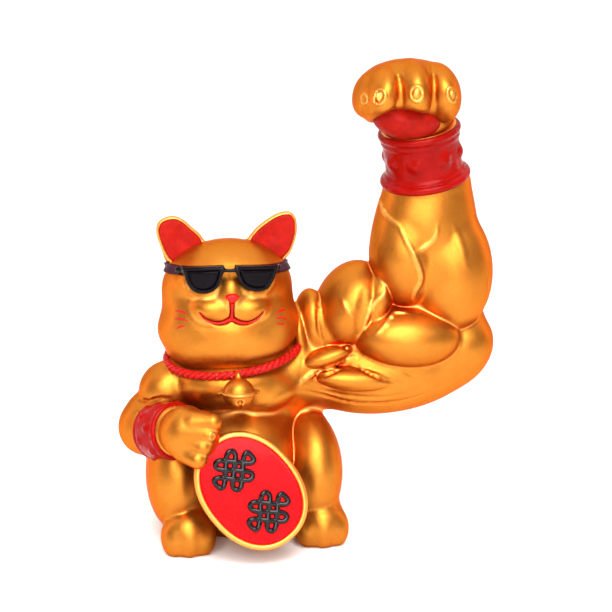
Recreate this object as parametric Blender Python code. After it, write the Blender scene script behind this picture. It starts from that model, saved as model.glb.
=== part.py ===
"""A seated beckoning cat figurine, cast in gold-painted resin, with one oversized flexed arm.

World frame: origin on the flat underside below the body, +Z up, the face looks along -Y,
the flexed arm is on the +X side. Lengths below are millimetres; MM turns them to metres.
"""

import math

import bmesh
import bpy
from mathutils import Euler, Matrix, Vector
from mathutils.bvhtree import BVHTree

MM = 0.001

# Fits
GAP = 0.3
SOCKET_GAP = 0.35

# Head
HEAD_CENTRE = (-3.8, 0.0, 94.5)
HEAD_ROLL = -2.5
EAR_THICKNESS = 4.2
LEFT_EAR = ((-19.6, 3.0, 113.6), (-26.0, 4.0, 127.6))
RIGHT_EAR = ((11.2, 3.0, 114.6), (18.4, 4.0, 129.2))

# Collar and bell
COLLAR_CENTRE = (-2.2, -0.6, 76.4)
COLLAR_HALF_WIDTH = 26.8
COLLAR_HALF_DEPTH = 24.6
COLLAR_ROLL = -8.0
COLLAR_PITCH = 9.5
CORD_RADIUS = 1.6
BELL_CENTRE = (-3.0, -29.0, 65.6)
BELL_RADIUS = 6.2

# Sunglasses
GLASSES_TOP = 113.4
GLASSES_CENTRE_X = -4.8
LENS_WIDTH = 13.8
LENS_HEIGHT = 8.8
LENS_SPACING = 20.4
FRAME_BAND = 1.7
FRAME_FRONT = -24.2
STRAP_HEIGHT = 3.3

# Raised wrist: the cuff sits between these two points
CUFF_LOW = Vector((75.0, -1.5, 143.8))
CUFF_HIGH = Vector((71.0, -6.2, 164.8))
CUFF_FOOT_RADIUS = 18.2
CUFF_WAIST_RADIUS = 15.4
CUFF_TOP_RADIUS = 16.4
WRIST_RADIUS = 12.6
STUD_RADIUS = 2.6
STUD_COUNT = 8

# Lowered wrist
LOW_CUFF_REAR = Vector((-35.4, -8.0, 46.0))
LOW_CUFF_FRONT = Vector((-27.6, -22.0, 49.6))
LOW_CUFF_RADIUS = 11.4
LOW_CUFF_WAIST = 10.8
LOW_WRIST_RADIUS = 8.4
LOW_STUD_RADIUS = 2.0

# Coin
COIN_CENTRE = Vector((0.4, -39.0, 29.6))
COIN_LEAN = 12.0
COIN_TURN = -52.0
COIN_HALF_LENGTH = 24.4
COIN_HALF_WIDTH = 19.0
COIN_THICKNESS = 5.0
COIN_RIM = 2.5
COIN_RECESS = 1.3
MOTIF_OFFSET = 10.6
MOTIF_REACH = 7.6
STROKE_RADIUS = 0.95

# Hidden core
BORE_X = -14.0
BORE_Y = 9.0
BORE_RADIUS = 9.0
BORE_DEPTH = 42.0
STOPPER_LENGTH = 9.0
STOPPER_RECESS = 0.5
DOWEL_RADIUS = 4.0
DOWEL_START = Vector((-12.0, 5.0, 53.0))
DOWEL_END = Vector((38.0, 3.0, 75.0))

GOLD = (0.86, 0.42, 0.07)
RED = (0.62, 0.02, 0.02)


def clear_scene():
    """Removes the startup objects."""
    for obj in list(bpy.data.objects):
        bpy.data.objects.remove(obj, do_unlink=True)


def paint(name, colour, metallic, roughness, coat=0.0):
    """A painted surface."""
    mat = bpy.data.materials.new(name)
    mat.use_nodes = True
    shader = mat.node_tree.nodes["Principled BSDF"]
    shader.inputs["Base Color"].default_value = (*colour, 1.0)
    shader.inputs["Metallic"].default_value = metallic
    shader.inputs["Roughness"].default_value = roughness
    shader.inputs["Coat Weight"].default_value = coat
    return mat


# Shapes in a bmesh


def ball(bm, centre, radii, turn=(0.0, 0.0, 0.0)):
    """Adds an ellipsoid; turn is in degrees about X, Y and Z."""
    spin = Euler([math.radians(a) for a in turn]).to_matrix().to_4x4()
    size = Matrix.Diagonal(Vector(radii) * MM).to_4x4()
    place = Matrix.Translation(Vector(centre) * MM) @ spin @ size
    bmesh.ops.create_uvsphere(bm, u_segments=32, v_segments=20, radius=1.0, matrix=place)


def along(start, end):
    """The matrix that stands local Z along start to end, at start, in metres."""
    start = Vector(start) * MM
    end = Vector(end) * MM
    turn = (end - start).to_track_quat("Z", "Y").to_matrix().to_4x4()
    return Matrix.Translation(start) @ turn


def rod(bm, start, end, r1, r2=None, sides=32):
    """Adds a flat-ended rod or cone from start to end."""
    length = (Vector(end) - Vector(start)).length * MM
    place = along(start, end) @ Matrix.Translation((0.0, 0.0, length / 2))
    r2 = r1 if r2 is None else r2
    bmesh.ops.create_cone(
        bm,
        cap_ends=True,
        segments=sides,
        radius1=r1 * MM,
        radius2=r2 * MM,
        depth=length,
        matrix=place,
    )


def limb(bm, start, end, r1, r2):
    """Adds a rod with a ball on each end."""
    rod(bm, start, end, r1, r2)
    ball(bm, start, (r1, r1, r1))
    ball(bm, end, (r2, r2, r2))


def cord_of(bm, points, radius):
    """Adds limbs through all the points."""
    for first, second in zip(points, points[1:]):
        limb(bm, first, second, radius, radius)


# Objects


def add(name, bm):
    """Links the bmesh to the scene as an object."""
    bmesh.ops.recalc_face_normals(bm, faces=bm.faces)
    mesh = bpy.data.meshes.new(name)
    bm.to_mesh(mesh)
    bm.free()
    obj = bpy.data.objects.new(name, mesh)
    bpy.context.scene.collection.objects.link(obj)
    return obj


def bake(obj):
    """Turns the modifiers of the object into its own mesh."""
    bpy.context.view_layer.update()
    graph = bpy.context.evaluated_depsgraph_get()
    mesh = bpy.data.meshes.new_from_object(obj.evaluated_get(graph))
    old = obj.data
    obj.modifiers.clear()
    obj.data = mesh
    mesh.name = obj.name
    bpy.data.meshes.remove(old)
    return obj


def triangle_count(obj):
    """How many triangles the mesh holds."""
    obj.data.calc_loop_triangles()
    return len(obj.data.loop_triangles)


def thin(obj, triangles):
    """Reduces the mesh to about this many triangles."""
    ratio = triangles / triangle_count(obj)
    if ratio < 1.0:
        modifier = obj.modifiers.new("Thin", "DECIMATE")
        modifier.ratio = ratio
        bake(obj)
    return obj


def sculpt(name, bm, voxel, passes, triangles):
    """One smooth skin round all the shapes in the bmesh."""
    obj = add(name, bm)
    skin = obj.modifiers.new("Skin", "REMESH")
    skin.mode = "VOXEL"
    skin.voxel_size = voxel * MM
    soften = obj.modifiers.new("Soften", "SMOOTH")
    soften.factor = 0.5
    soften.iterations = passes
    bake(obj)
    return thin(obj, triangles)


def swollen(obj, gap):
    """A copy of the object, grown outwards by the gap."""
    copy = obj.copy()
    copy.data = obj.data.copy()
    bpy.context.scene.collection.objects.link(copy)
    grow = copy.modifiers.new("Grow", "DISPLACE")
    grow.strength = gap * MM
    grow.mid_level = 0.0
    return bake(copy)


def volume_of(body):
    """The volume that the faces of this set of connected points enclose."""
    total = 0.0
    for face in {face for vert in body for face in vert.link_faces}:
        first = face.verts[0].co
        for second, third in zip(face.verts[1:], face.verts[2:]):
            total += first.dot(second.co.cross(third.co)) / 6.0
    return total


def largest_body(obj):
    """Removes the crumbs a cut leaves beside the main body."""
    bm = bmesh.new()
    bm.from_mesh(obj.data)
    bodies = []
    unseen = set(bm.verts)
    while unseen:
        stack = [unseen.pop()]
        body = set(stack)
        while stack:
            for edge in stack.pop().link_edges:
                for vert in edge.verts:
                    if vert in unseen:
                        unseen.discard(vert)
                        body.add(vert)
                        stack.append(vert)
        bodies.append(body)
    bodies.sort(key=volume_of)
    for body in bodies[:-1]:
        bmesh.ops.delete(bm, geom=list(body), context="VERTS")
    bm.to_mesh(obj.data)
    bm.free()
    return obj


def combine(obj, tool, operation):
    """Boolean of the object with the tool, which is then removed."""
    modifier = obj.modifiers.new("Combine", "BOOLEAN")
    modifier.operation = operation
    modifier.solver = "EXACT"
    modifier.object = tool
    bake(obj)
    bpy.data.objects.remove(tool, do_unlink=True)
    return largest_body(obj)


def cut(obj, tool):
    """Removes the tool from the object."""
    return combine(obj, tool, "DIFFERENCE")


def seat(piece, into, gap=GAP):
    """Cuts a recess for the piece, with clearance, into the other object."""
    return cut(into, swollen(piece, gap))


def box(name, low, high):
    """A plain block between two corners."""
    bm = bmesh.new()
    low = Vector(low)
    high = Vector(high)
    size = Matrix.Diagonal((high - low) * MM).to_4x4()
    place = Matrix.Translation((low + high) / 2 * MM) @ size
    bmesh.ops.create_cube(bm, size=1.0, matrix=place)
    return add(name, bm)


def finish(obj, mat, smooth=True):
    """Gives the object its paint and its shading."""
    obj.data.materials.clear()
    obj.data.materials.append(mat)
    for face in obj.data.polygons:
        face.use_smooth = smooth
    if smooth:
        obj.data.set_sharp_from_angle(angle=math.radians(42.0))
    return obj


def revolve(bm, profile, sides, place):
    """Adds the closed ring that the closed profile of (radius, height) sweeps."""
    verts = [bm.verts.new((r * MM, 0.0, h * MM)) for r, h in profile]
    edges = []
    for index, vert in enumerate(verts):
        edges.append(bm.edges.new((vert, verts[(index + 1) % len(verts)])))
    bmesh.ops.spin(
        bm,
        geom=verts + edges,
        axis=(0.0, 0.0, 1.0),
        cent=(0.0, 0.0, 0.0),
        steps=sides,
        angle=2 * math.pi,
        use_merge=True,
    )
    bmesh.ops.transform(bm, matrix=place, verts=bm.verts)


# Gold castings


def make_torso():
    """Body, haunches, hind feet and tail in one casting."""
    bm = bmesh.new()
    ball(bm, (2.0, 6.0, 28.0), (31.0, 29.0, 34.0))
    ball(bm, (3.0, 11.0, 17.0), (37.0, 27.0, 23.0))
    ball(bm, (-0.5, 2.0, 56.0), (27.0, 22.0, 22.0))
    ball(bm, (-3.0, -11.0, 64.5), (21.5, 16.5, 12.0))
    ball(bm, (1.0, -12.0, 36.0), (21.0, 25.0, 23.0))
    ball(bm, (-2.6, 0.0, 66.0), (27.0, 24.0, 12.5), (6.0, -4.0, 0.0))
    make_leg(bm, 1.0, 26.6, 30.4, -24.0)
    make_leg(bm, -1.0, -25.0, -23.4, -27.5)
    limb(bm, (9.0, 33.0, 7.5), (20.0, 36.0, 10.0), 6.0, 6.5)
    limb(bm, (20.0, 36.0, 10.0), (27.0, 31.0, 15.0), 6.5, 5.0)
    torso = sculpt("torso_casting", bm, 1.0, 6, 1900)
    return cut(torso, box("ground", (-90.0, -90.0, -40.0), (90.0, 90.0, 0.0)))


def make_leg(bm, side, hip_x, foot_x, toe_y):
    """One folded haunch, with its foot and three toes."""
    ball(bm, (hip_x, -4.0, 26.5), (14.3, 25.0, 25.5), (0.0, 0.0, 6.0 * side))
    ball(bm, (hip_x - 7.0 * side, 13.0, 21.0), (19.0, 20.0, 23.0))
    limb(bm, (foot_x - 2.0 * side, -12.0, 8.0), (foot_x, toe_y + 4.0, 8.6), 10.0, 9.4)
    for toe in (-1.0, 0.0, 1.0):
        ball(bm, (foot_x + 6.6 * toe, toe_y + 1.6 * abs(toe), 7.0), (4.6, 7.0, 7.3))


def make_head():
    """Round head with cheeks, muzzle, two ears and the neck spigot."""
    bm = bmesh.new()
    ball(bm, (-3.8, -0.5, 87.8), (29.0, 24.4, 17.2), (0.0, HEAD_ROLL, 0.0))
    ball(bm, (-4.4, 0.5, 101.5), (26.0, 22.0, 19.8), (0.0, HEAD_ROLL, 0.0))
    ball(bm, (-3.8, -13.0, 82.0), (17.0, 10.5, 8.0))
    ball(bm, (-9.6, -20.0, 97.0), (8.0, 6.0, 6.2))
    ball(bm, (1.2, -20.0, 97.4), (8.0, 6.0, 6.2))
    ball(bm, (-4.4, -18.8, 103.0), (6.0, 6.0, 6.5))
    make_ear(bm, LEFT_EAR[0], LEFT_EAR[1])
    make_ear(bm, RIGHT_EAR[0], RIGHT_EAR[1])
    rod(bm, (-3.5, 0.5, 66.0), (-3.5, 0.5, 86.0), 12.0, 14.0)
    return sculpt("head_casting", bm, 0.9, 3, 1600)


def make_ear(bm, root, tip):
    """A broad ear that narrows to a round tip."""
    root = Vector(root)
    tip = Vector(tip)
    lean = math.degrees(math.atan2(tip.x - root.x, tip.z - root.z))
    steps = ((0.0, 10.6), (0.3, 9.8), (0.55, 8.2), (0.76, 6.0), (0.92, 3.8))
    for share, half in steps:
        place = root.lerp(tip, share)
        ball(bm, place, (half, EAR_THICKNESS, 4.6), (0.0, lean, 0.0))


def make_raised_arm():
    """Shoulder, deltoid, biceps, triceps and forearm, ending in a wrist stub."""
    bm = bmesh.new()
    ball(bm, (24.0, 3.0, 66.0), (19.0, 18.0, 17.0))
    ball(bm, (29.0, 3.0, 83.0), (9.5, 14.0, 15.5), (0.0, -12.0, 0.0))
    ball(bm, (37.5, 3.0, 88.0), (10.5, 19.0, 16.5), (0.0, 8.0, 0.0))
    ball(bm, (49.0, 2.0, 89.0), (19.0, 22.0, 21.0), (0.0, 6.0, 0.0))
    ball(bm, (44.0, -3.0, 66.0), (22.0, 18.0, 14.0), (0.0, -8.0, 0.0))
    ball(bm, (62.0, 3.0, 66.0), (37.0, 21.0, 18.6), (0.0, -7.0, 0.0))
    ball(bm, (70.0, -9.0, 81.0), (27.0, 17.5, 13.0), (0.0, 3.0, 0.0))
    ball(bm, (89.5, 3.0, 75.5), (15.6, 17.5, 14.5), (0.0, -30.0, 0.0))
    ball(bm, (80.0, 5.0, 94.0), (22.0, 18.0, 24.0))
    ball(bm, (68.0, -4.0, 112.0), (16.0, 18.0, 26.0), (-4.0, -2.0, 0.0))
    ball(bm, (87.0, -2.0, 108.0), (16.0, 19.5, 29.0), (-4.0, -6.0, 0.0))
    ball(bm, (86.0, -15.0, 93.0), (9.5, 8.0, 12.0), (0.0, -20.0, 0.0))
    rod(bm, (78.0, -1.0, 118.0), CUFF_LOW, 21.0, 17.0)
    middle = CUFF_LOW.lerp(CUFF_HIGH, 0.45)
    rod(bm, CUFF_LOW, middle, WRIST_RADIUS)
    arm = sculpt("raised_arm_casting", bm, 1.0, 3, 2000)
    bm = bmesh.new()
    rod(bm, CUFF_LOW.lerp(CUFF_HIGH, -0.1), CUFF_LOW.lerp(CUFF_HIGH, 1.0), 7.3)
    return cut(arm, add("wrist_socket", bm))


def make_raised_paw():
    """Four curled fingers over the palm, with a wrist that ends in a spigot."""
    bm = bmesh.new()
    centre = Vector((64.0, -14.0, 178.9))
    ball(bm, centre + Vector((0.5, 2.0, -0.3)), (21.0, 17.0, 13.0))
    ball(bm, (47.4, -13.0, 176.4), (6.0, 12.0, 9.2), (0.0, 18.0, 0.0))
    ball(bm, (54.8, -15.0, 178.6), (9.4, 16.5, 12.0), (0.0, 8.0, 0.0))
    ball(bm, (67.6, -15.5, 179.4), (10.2, 17.0, 13.0))
    ball(bm, (78.2, -13.5, 179.0), (8.0, 15.5, 11.4), (0.0, -10.0, 0.0))
    for x, y, z in ((45.2, -22.6, 177.0), (52.8, -31.0, 177.2), (67.4, -32.4, 178.6), (80.6, -27.4, 178.8)):
        ball(bm, (x, y, z), (2.0, 1.4, 2.7))
    ball(bm, (68.6, -11.0, 166.4), (13.5, 12.5, 11.0))
    seam = CUFF_LOW.lerp(CUFF_HIGH, 0.49)
    rod(bm, seam, (70.2, -8.0, 171.0), WRIST_RADIUS)
    rod(bm, CUFF_LOW.lerp(CUFF_HIGH, 0.0), CUFF_HIGH, 6.9)
    return sculpt("raised_paw", bm, 0.75, 2, 950)


def make_lowered_arm():
    """Upper arm and forearm, bent to the coin, ending in a wrist stub."""
    bm = bmesh.new()
    limb(bm, (-24.0, -1.0, 63.0), (-34.0, 0.0, 50.0), 11.6, 11.2)
    ball(bm, (-29.5, -2.0, 61.0), (9.6, 12.5, 12.5), (0.0, 30.0, 0.0))
    limb(bm, (-36.0, 1.0, 48.0), (-37.5, -1.0, 45.0), 11.2, 10.8)
    rod(bm, (-37.5, -1.0, 45.0), LOW_CUFF_REAR, 10.8, 10.0)
    middle = LOW_CUFF_REAR.lerp(LOW_CUFF_FRONT, 0.52)
    rod(bm, LOW_CUFF_REAR, middle, LOW_WRIST_RADIUS)
    arm = sculpt("lowered_arm_casting", bm, 0.8, 3, 600)
    bm = bmesh.new()
    rod(bm, LOW_CUFF_REAR.lerp(LOW_CUFF_FRONT, 0.0), LOW_CUFF_FRONT, 4.3)
    return cut(arm, add("low_wrist_socket", bm))


def make_lowered_paw():
    """Hand laid on the edge of the coin, four fingers side by side."""
    bm = bmesh.new()
    ball(bm, (-22.5, -33.5, 51.5), (8.6, 8.6, 9.6))
    for index in range(4):
        share = index / 3.0
        root = Vector((-21.0, -36.0, 57.0)).lerp(Vector((-25.0, -36.0, 45.5)), share)
        tip = Vector((-12.5, -41.5, 57.2)).lerp(Vector((-19.0, -43.0, 44.0)), share)
        limb(bm, root, tip, 3.7, 3.3)
    seam = LOW_CUFF_REAR.lerp(LOW_CUFF_FRONT, 0.56)
    rod(bm, seam, (-25.0, -28.5, 51.0), LOW_WRIST_RADIUS)
    rod(bm, LOW_CUFF_REAR.lerp(LOW_CUFF_FRONT, 0.1), LOW_CUFF_FRONT, 3.9)
    return sculpt("lowered_paw", bm, 0.6, 2, 650)


# Cuffs, collar and bell


def cuff_profile(length, bore, foot, waist, top):
    """A sleeve section with a rolled bead at each end."""
    return (
        (bore, 0.0),
        (foot - 1.0, 0.0),
        (foot, 1.2),
        (foot - 0.4, 2.8),
        (waist, 5.4),
        (waist, length - 4.8),
        (top, length - 1.9),
        (top - 0.8, length),
        (bore, length),
    )


def make_cuff(name, low, high, bore, radii, stud, count):
    """A sleeve with round studs at mid height."""
    foot, waist, top = radii
    length = (high - low).length
    place = along(low, high)
    bm = bmesh.new()
    revolve(bm, cuff_profile(length, bore, foot, waist, top), 28, place)
    cuff = add(name, bm)
    bm = bmesh.new()
    for index in range(count):
        angle = 2 * math.pi * (index + 0.5) / count
        reach = waist + 0.5
        spot = Vector((math.cos(angle) * reach, math.sin(angle) * reach, length / 2))
        matrix = place @ Matrix.Translation(spot * MM)
        matrix = matrix @ Matrix.Scale(stud * MM, 4)
        bmesh.ops.create_uvsphere(bm, u_segments=8, v_segments=5, radius=1.0, matrix=matrix)
    return combine(cuff, add("studs", bm), "UNION")


def make_collar():
    """A twisted three-strand cord closed round the neck."""
    bm = bmesh.new()
    steps = 57
    sides = 6
    tilt = Euler((math.radians(COLLAR_PITCH), math.radians(COLLAR_ROLL), 0.0)).to_matrix()
    rings = []
    for step in range(steps):
        turn = 2 * math.pi * step / steps
        middle = Vector((COLLAR_HALF_WIDTH * math.cos(turn), COLLAR_HALF_DEPTH * math.sin(turn), 0.0))
        outward = Vector((math.cos(turn), math.sin(turn), 0.0))
        ring = []
        for side in range(sides):
            angle = 2 * math.pi * side / sides
            lay = 1.0 + 0.13 * math.cos(3 * angle - 19 * turn)
            reach = outward * math.cos(angle) + Vector((0.0, 0.0, math.sin(angle)))
            spot = tilt @ (middle + reach * CORD_RADIUS * lay) + Vector(COLLAR_CENTRE)
            ring.append(bm.verts.new(spot * MM))
        rings.append(ring)
    for step in range(steps):
        here = rings[step]
        there = rings[(step + 1) % steps]
        for side in range(sides):
            other = (side + 1) % sides
            bm.faces.new((here[side], there[side], there[other], here[other]))
    return add("collar_cord", bm)


def make_bell():
    """A round jingle bell with a raised belt, a hanging lug and a slot."""
    bm = bmesh.new()
    centre = Vector(BELL_CENTRE)
    ball(bm, centre, (BELL_RADIUS, BELL_RADIUS, BELL_RADIUS))
    rod(bm, centre - Vector((0.0, 0.0, 0.5)), centre + Vector((0.0, 0.0, 0.9)), BELL_RADIUS + 0.8)
    limb(bm, centre + Vector((0.0, 0.6, 5.4)), centre + Vector((0.0, 1.0, 6.6)), 1.5, 1.4)
    bell = sculpt("bell", bm, 0.45, 1, 380)
    slot = box("slot", (-3.0 - 0.6, -40.0, 58.0), (-3.0 + 0.6, -32.0, 62.4))
    return cut(bell, slot)


# Face pieces


def front_of(obj):
    """A function that gives the point of the object's front at an x and a z."""
    bm = bmesh.new()
    bm.from_mesh(obj.data)
    tree = BVHTree.FromBMesh(bm)
    bm.free()

    def spot(x, z, lift=0.0):
        start = Vector((x * MM, -0.2, z * MM))
        hit = tree.ray_cast(start, Vector((0.0, 1.0, 0.0)))
        return Vector((x, hit[0].y / MM - lift, z))

    return spot


def lens_outline(centre_x, centre_z, half_width, height, side):
    """A flat-topped D outline, wider and higher on its outer side."""
    points = []
    for step in range(16):
        angle = math.pi * step / 15
        reach = half_width * math.cos(angle)
        drop = height * math.sin(angle) ** 0.62
        skew = 0.6 * side * math.sin(angle)
        points.append((centre_x + reach - skew, centre_z - drop))
    return points


def slab(name, outline, front, back):
    """A flat plate with this outline in x and z, between two depths."""
    bm = bmesh.new()
    face = bm.faces.new([bm.verts.new((x * MM, front * MM, z * MM)) for x, z in outline])
    made = bmesh.ops.extrude_face_region(bm, geom=[face])
    verts = [item for item in made["geom"] if isinstance(item, bmesh.types.BMVert)]
    bmesh.ops.translate(bm, verts=verts, vec=(0.0, (back - front) * MM, 0.0))
    return add(name, bm)


def make_lens(name, side, grow=0.0, back=-17.0):
    """One tinted lens; side is -1 or +1 along x."""
    centre_x = GLASSES_CENTRE_X + side * LENS_SPACING / 2
    half = LENS_WIDTH / 2 + grow
    outline = lens_outline(centre_x, GLASSES_TOP - 1.3 + grow, half, LENS_HEIGHT + 2 * grow, side)
    return slab(name, outline, FRAME_FRONT + 0.7, back)


def make_glasses():
    """The front frame with both lens openings."""
    frame = slab("sunglasses_frame", outline_of_frame(), FRAME_FRONT, -15.0)
    for side in (-1.0, 1.0):
        centre_x = GLASSES_CENTRE_X + side * LENS_SPACING / 2
        hole = lens_outline(centre_x, GLASSES_TOP - 1.3 + GAP, LENS_WIDTH / 2 + GAP, LENS_HEIGHT + 2 * GAP, side)
        cut(frame, slab("hole", hole, FRAME_FRONT - 5.0, 0.0))
    return frame


def outline_of_frame():
    """Both rims and the bridge between them as one outline."""
    reach = LENS_WIDTH / 2 + FRAME_BAND
    drop = LENS_HEIGHT + FRAME_BAND
    top = GLASSES_TOP + 0.3
    right = lens_outline(GLASSES_CENTRE_X + LENS_SPACING / 2, top - 1.2, reach, drop, 1.0)
    left = lens_outline(GLASSES_CENTRE_X - LENS_SPACING / 2, top - 1.2, reach, drop, -1.0)
    bridge = top - 3.2
    right = [point for point in right if point[0] > GLASSES_CENTRE_X + 0.9]
    left = [point for point in left if point[0] < GLASSES_CENTRE_X - 0.9]
    middle = [(GLASSES_CENTRE_X + 0.9, bridge), (GLASSES_CENTRE_X - 0.9, bridge)]
    corners = [(GLASSES_CENTRE_X - 17.4, top), (GLASSES_CENTRE_X + 17.4, top)]
    return right + middle + left + corners


def make_temple(name, head, side):
    """A flat strap that follows one side of the head."""
    strap = swollen(head, GAP + 1.2)
    strap.name = name
    low = GLASSES_TOP - STRAP_HEIGHT - 0.4
    near = GLASSES_CENTRE_X + side * 18.4
    far = GLASSES_CENTRE_X + side * 50.0
    window = box(
        "window",
        (min(near, far), -19.0, low),
        (max(near, far), 9.0, low + STRAP_HEIGHT),
    )
    combine(strap, window, "INTERSECT")
    return cut(strap, swollen(head, GAP))


def make_ear_inlay(name, root, tip):
    """The shallow painted inner face of one ear."""
    root = Vector(root)
    tip = Vector(tip)
    lean = math.degrees(math.atan2(tip.x - root.x, tip.z - root.z))
    bm = bmesh.new()
    for share, half in ((0.2, 7.0), (0.45, 6.2), (0.68, 4.4)):
        place = root.lerp(tip, share) + Vector((0.0, -EAR_THICKNESS + 0.2, 0.0))
        ball(bm, place, (half, 1.5, 3.6), (0.0, lean, 0.0))
    return sculpt(name, bm, 0.5, 2, 160)


def make_nose(spot):
    """A small rounded triangle, point down."""
    bm = bmesh.new()
    for x, z in ((-6.2, 102.4), (-3.0, 102.6), (-4.6, 100.4)):
        ball(bm, spot(x, z), (1.5, 1.3, 1.3))
    ball(bm, spot(-4.6, 101.8), (1.8, 1.5, 1.4))
    return sculpt("nose", bm, 0.35, 2, 120)


def make_mouth(spot):
    """The line under the nose and the wide smile, as one thin inlay."""
    bm = bmesh.new()
    middle = (-4.6, 94.6)
    left = ((-4.6, 94.6), (-8.0, 92.9), (-12.0, 93.0), (-15.2, 94.4), (-17.2, 96.4))
    right = ((-4.6, 94.6), (-1.2, 93.1), (2.6, 93.3), (5.6, 94.9), (7.4, 96.8))
    stem = ((-4.6, 100.0), (-4.6, 97.4), middle)
    for line in (left, right, stem):
        cord_of(bm, [spot(x, z) for x, z in line], 0.75)
    return sculpt("mouth_line", bm, 0.35, 1, 300)


def make_palm_pad():
    """The red pad under the curled fingers."""
    bm = bmesh.new()
    ball(bm, (66.2, -19.0, 165.0), (12.0, 5.6, 7.8), (-14.0, 6.0, 0.0))
    return sculpt("palm_pad", bm, 0.6, 1, 160)


# Coin


def coin_matrix():
    """Local X along the coin's length, Z out of its face."""
    lean = math.radians(COIN_LEAN)
    turn = math.radians(COIN_TURN)
    right = Vector((1.0, 0.0, 0.0))
    rise = Vector((0.0, math.sin(lean), math.cos(lean)))
    out = right.cross(rise)
    long_axis = right * math.cos(turn) + rise * math.sin(turn)
    short_axis = out.cross(long_axis)
    turned = Matrix((long_axis, short_axis, out)).transposed().to_4x4()
    return Matrix.Translation(COIN_CENTRE * MM) @ turned


def oval(name, half_length, half_width, low, high, bevel=0.0):
    """An oval plate in the coin's own frame, with rounded edges if asked."""
    bm = bmesh.new()
    size = Matrix.Diagonal((half_length * MM, half_width * MM, (high - low) * MM)).to_4x4()
    lift = Matrix.Translation((0.0, 0.0, (high + low) / 2 * MM))
    bmesh.ops.create_cone(
        bm, cap_ends=True, segments=40, radius1=1.0, radius2=1.0, depth=1.0, matrix=lift @ size
    )
    if bevel:
        rims = [edge for edge in bm.edges if any(len(face.verts) > 4 for face in edge.link_faces)]
        bmesh.ops.bevel(bm, geom=rims, offset=bevel * MM, segments=2, profile=0.5, affect="EDGES")
    bmesh.ops.transform(bm, matrix=coin_matrix(), verts=bm.verts)
    return add(name, bm)


def make_coin():
    """The plate with its rounded rim, and the enamel face in its recess."""
    half = COIN_THICKNESS / 2
    plate = oval("koban_plate", COIN_HALF_LENGTH, COIN_HALF_WIDTH, -half, half, 1.7)
    inner_length = COIN_HALF_LENGTH - COIN_RIM
    inner_width = COIN_HALF_WIDTH - COIN_RIM
    floor = half - COIN_RECESS - 1.0
    cut(plate, oval("recess", inner_length + GAP, inner_width + GAP, floor - GAP, 9.0))
    face = oval("koban_face", inner_length, inner_width, floor, half - COIN_RECESS, 0.3)
    return plate, face


def make_motif(name, offset, quarter):
    """An endless knot: two sets of bars woven across each other, joined by end loops."""
    bm = bmesh.new()
    top = COIN_THICKNESS / 2 - COIN_RECESS + 0.35
    place = coin_matrix()
    reach = MOTIF_REACH
    lines = []
    for step in (-1, 0, 1):
        shift = step * reach * 0.62
        long_end = reach if step else reach * 1.18
        lines.append(((-long_end, shift), (long_end, shift)))
        lines.append(((shift, -long_end), (shift, long_end)))
    for sign in (-1, 1):
        lines.append(((sign * reach, reach * 0.62), (sign * reach, 0.0)))
        lines.append(((-0.62 * reach, sign * reach), (0.0, sign * reach)))
    for first, second in lines:
        ends = []
        for x, y in (first, second):
            angle = math.radians(quarter)
            u = x * math.cos(angle) - y * math.sin(angle) + offset
            v = x * math.sin(angle) + y * math.cos(angle)
            ends.append(place @ Vector((u * MM, v * MM, top * MM)) / MM)
        limb(bm, ends[0], ends[1], STROKE_RADIUS, STROKE_RADIUS)
    knot = sculpt(name, bm, 0.42, 1, 520)
    level = top - 0.35 + GAP
    return cut(knot, oval("coin_level", 30.0, 30.0, level - 6.0, level))


# Hidden pieces


def capped_rod(name, start, end, radius, chamfer, sides=24):
    """A round pin with chamfered ends, its origin on its axis."""
    bm = bmesh.new()
    length = (Vector(end) - Vector(start)).length * MM
    bmesh.ops.create_cone(
        bm,
        cap_ends=True,
        segments=sides,
        radius1=radius * MM,
        radius2=radius * MM,
        depth=length,
        matrix=Matrix.Translation((0.0, 0.0, length / 2)),
    )
    rims = [edge for edge in bm.edges if any(len(face.verts) > 4 for face in edge.link_faces)]
    bmesh.ops.bevel(bm, geom=rims, offset=chamfer * MM, segments=1, affect="EDGES")
    obj = add(name, bm)
    obj.matrix_world = along(start, end)
    return obj


def make_core():
    """Dowel in the shoulder, ballast in the body, stopper under it."""
    dowel = capped_rod("shoulder_dowel", DOWEL_START, DOWEL_END, DOWEL_RADIUS, 0.8, 18)
    low = STOPPER_RECESS
    top = low + STOPPER_LENGTH
    stopper = capped_rod(
        "base_stopper", (BORE_X, BORE_Y, low), (BORE_X, BORE_Y, top), BORE_RADIUS - GAP, 0.7
    )
    ballast = capped_rod(
        "ballast_slug",
        (BORE_X, BORE_Y, top + 0.6),
        (BORE_X, BORE_Y, BORE_DEPTH - 0.6),
        BORE_RADIUS - GAP,
        1.0,
    )
    return dowel, stopper, ballast


def bore(obj, start, end, radius, sides=24):
    """Drills a round hole."""
    bm = bmesh.new()
    rod(bm, start, end, radius, radius, sides)
    return cut(obj, add("drill", bm))


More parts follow.
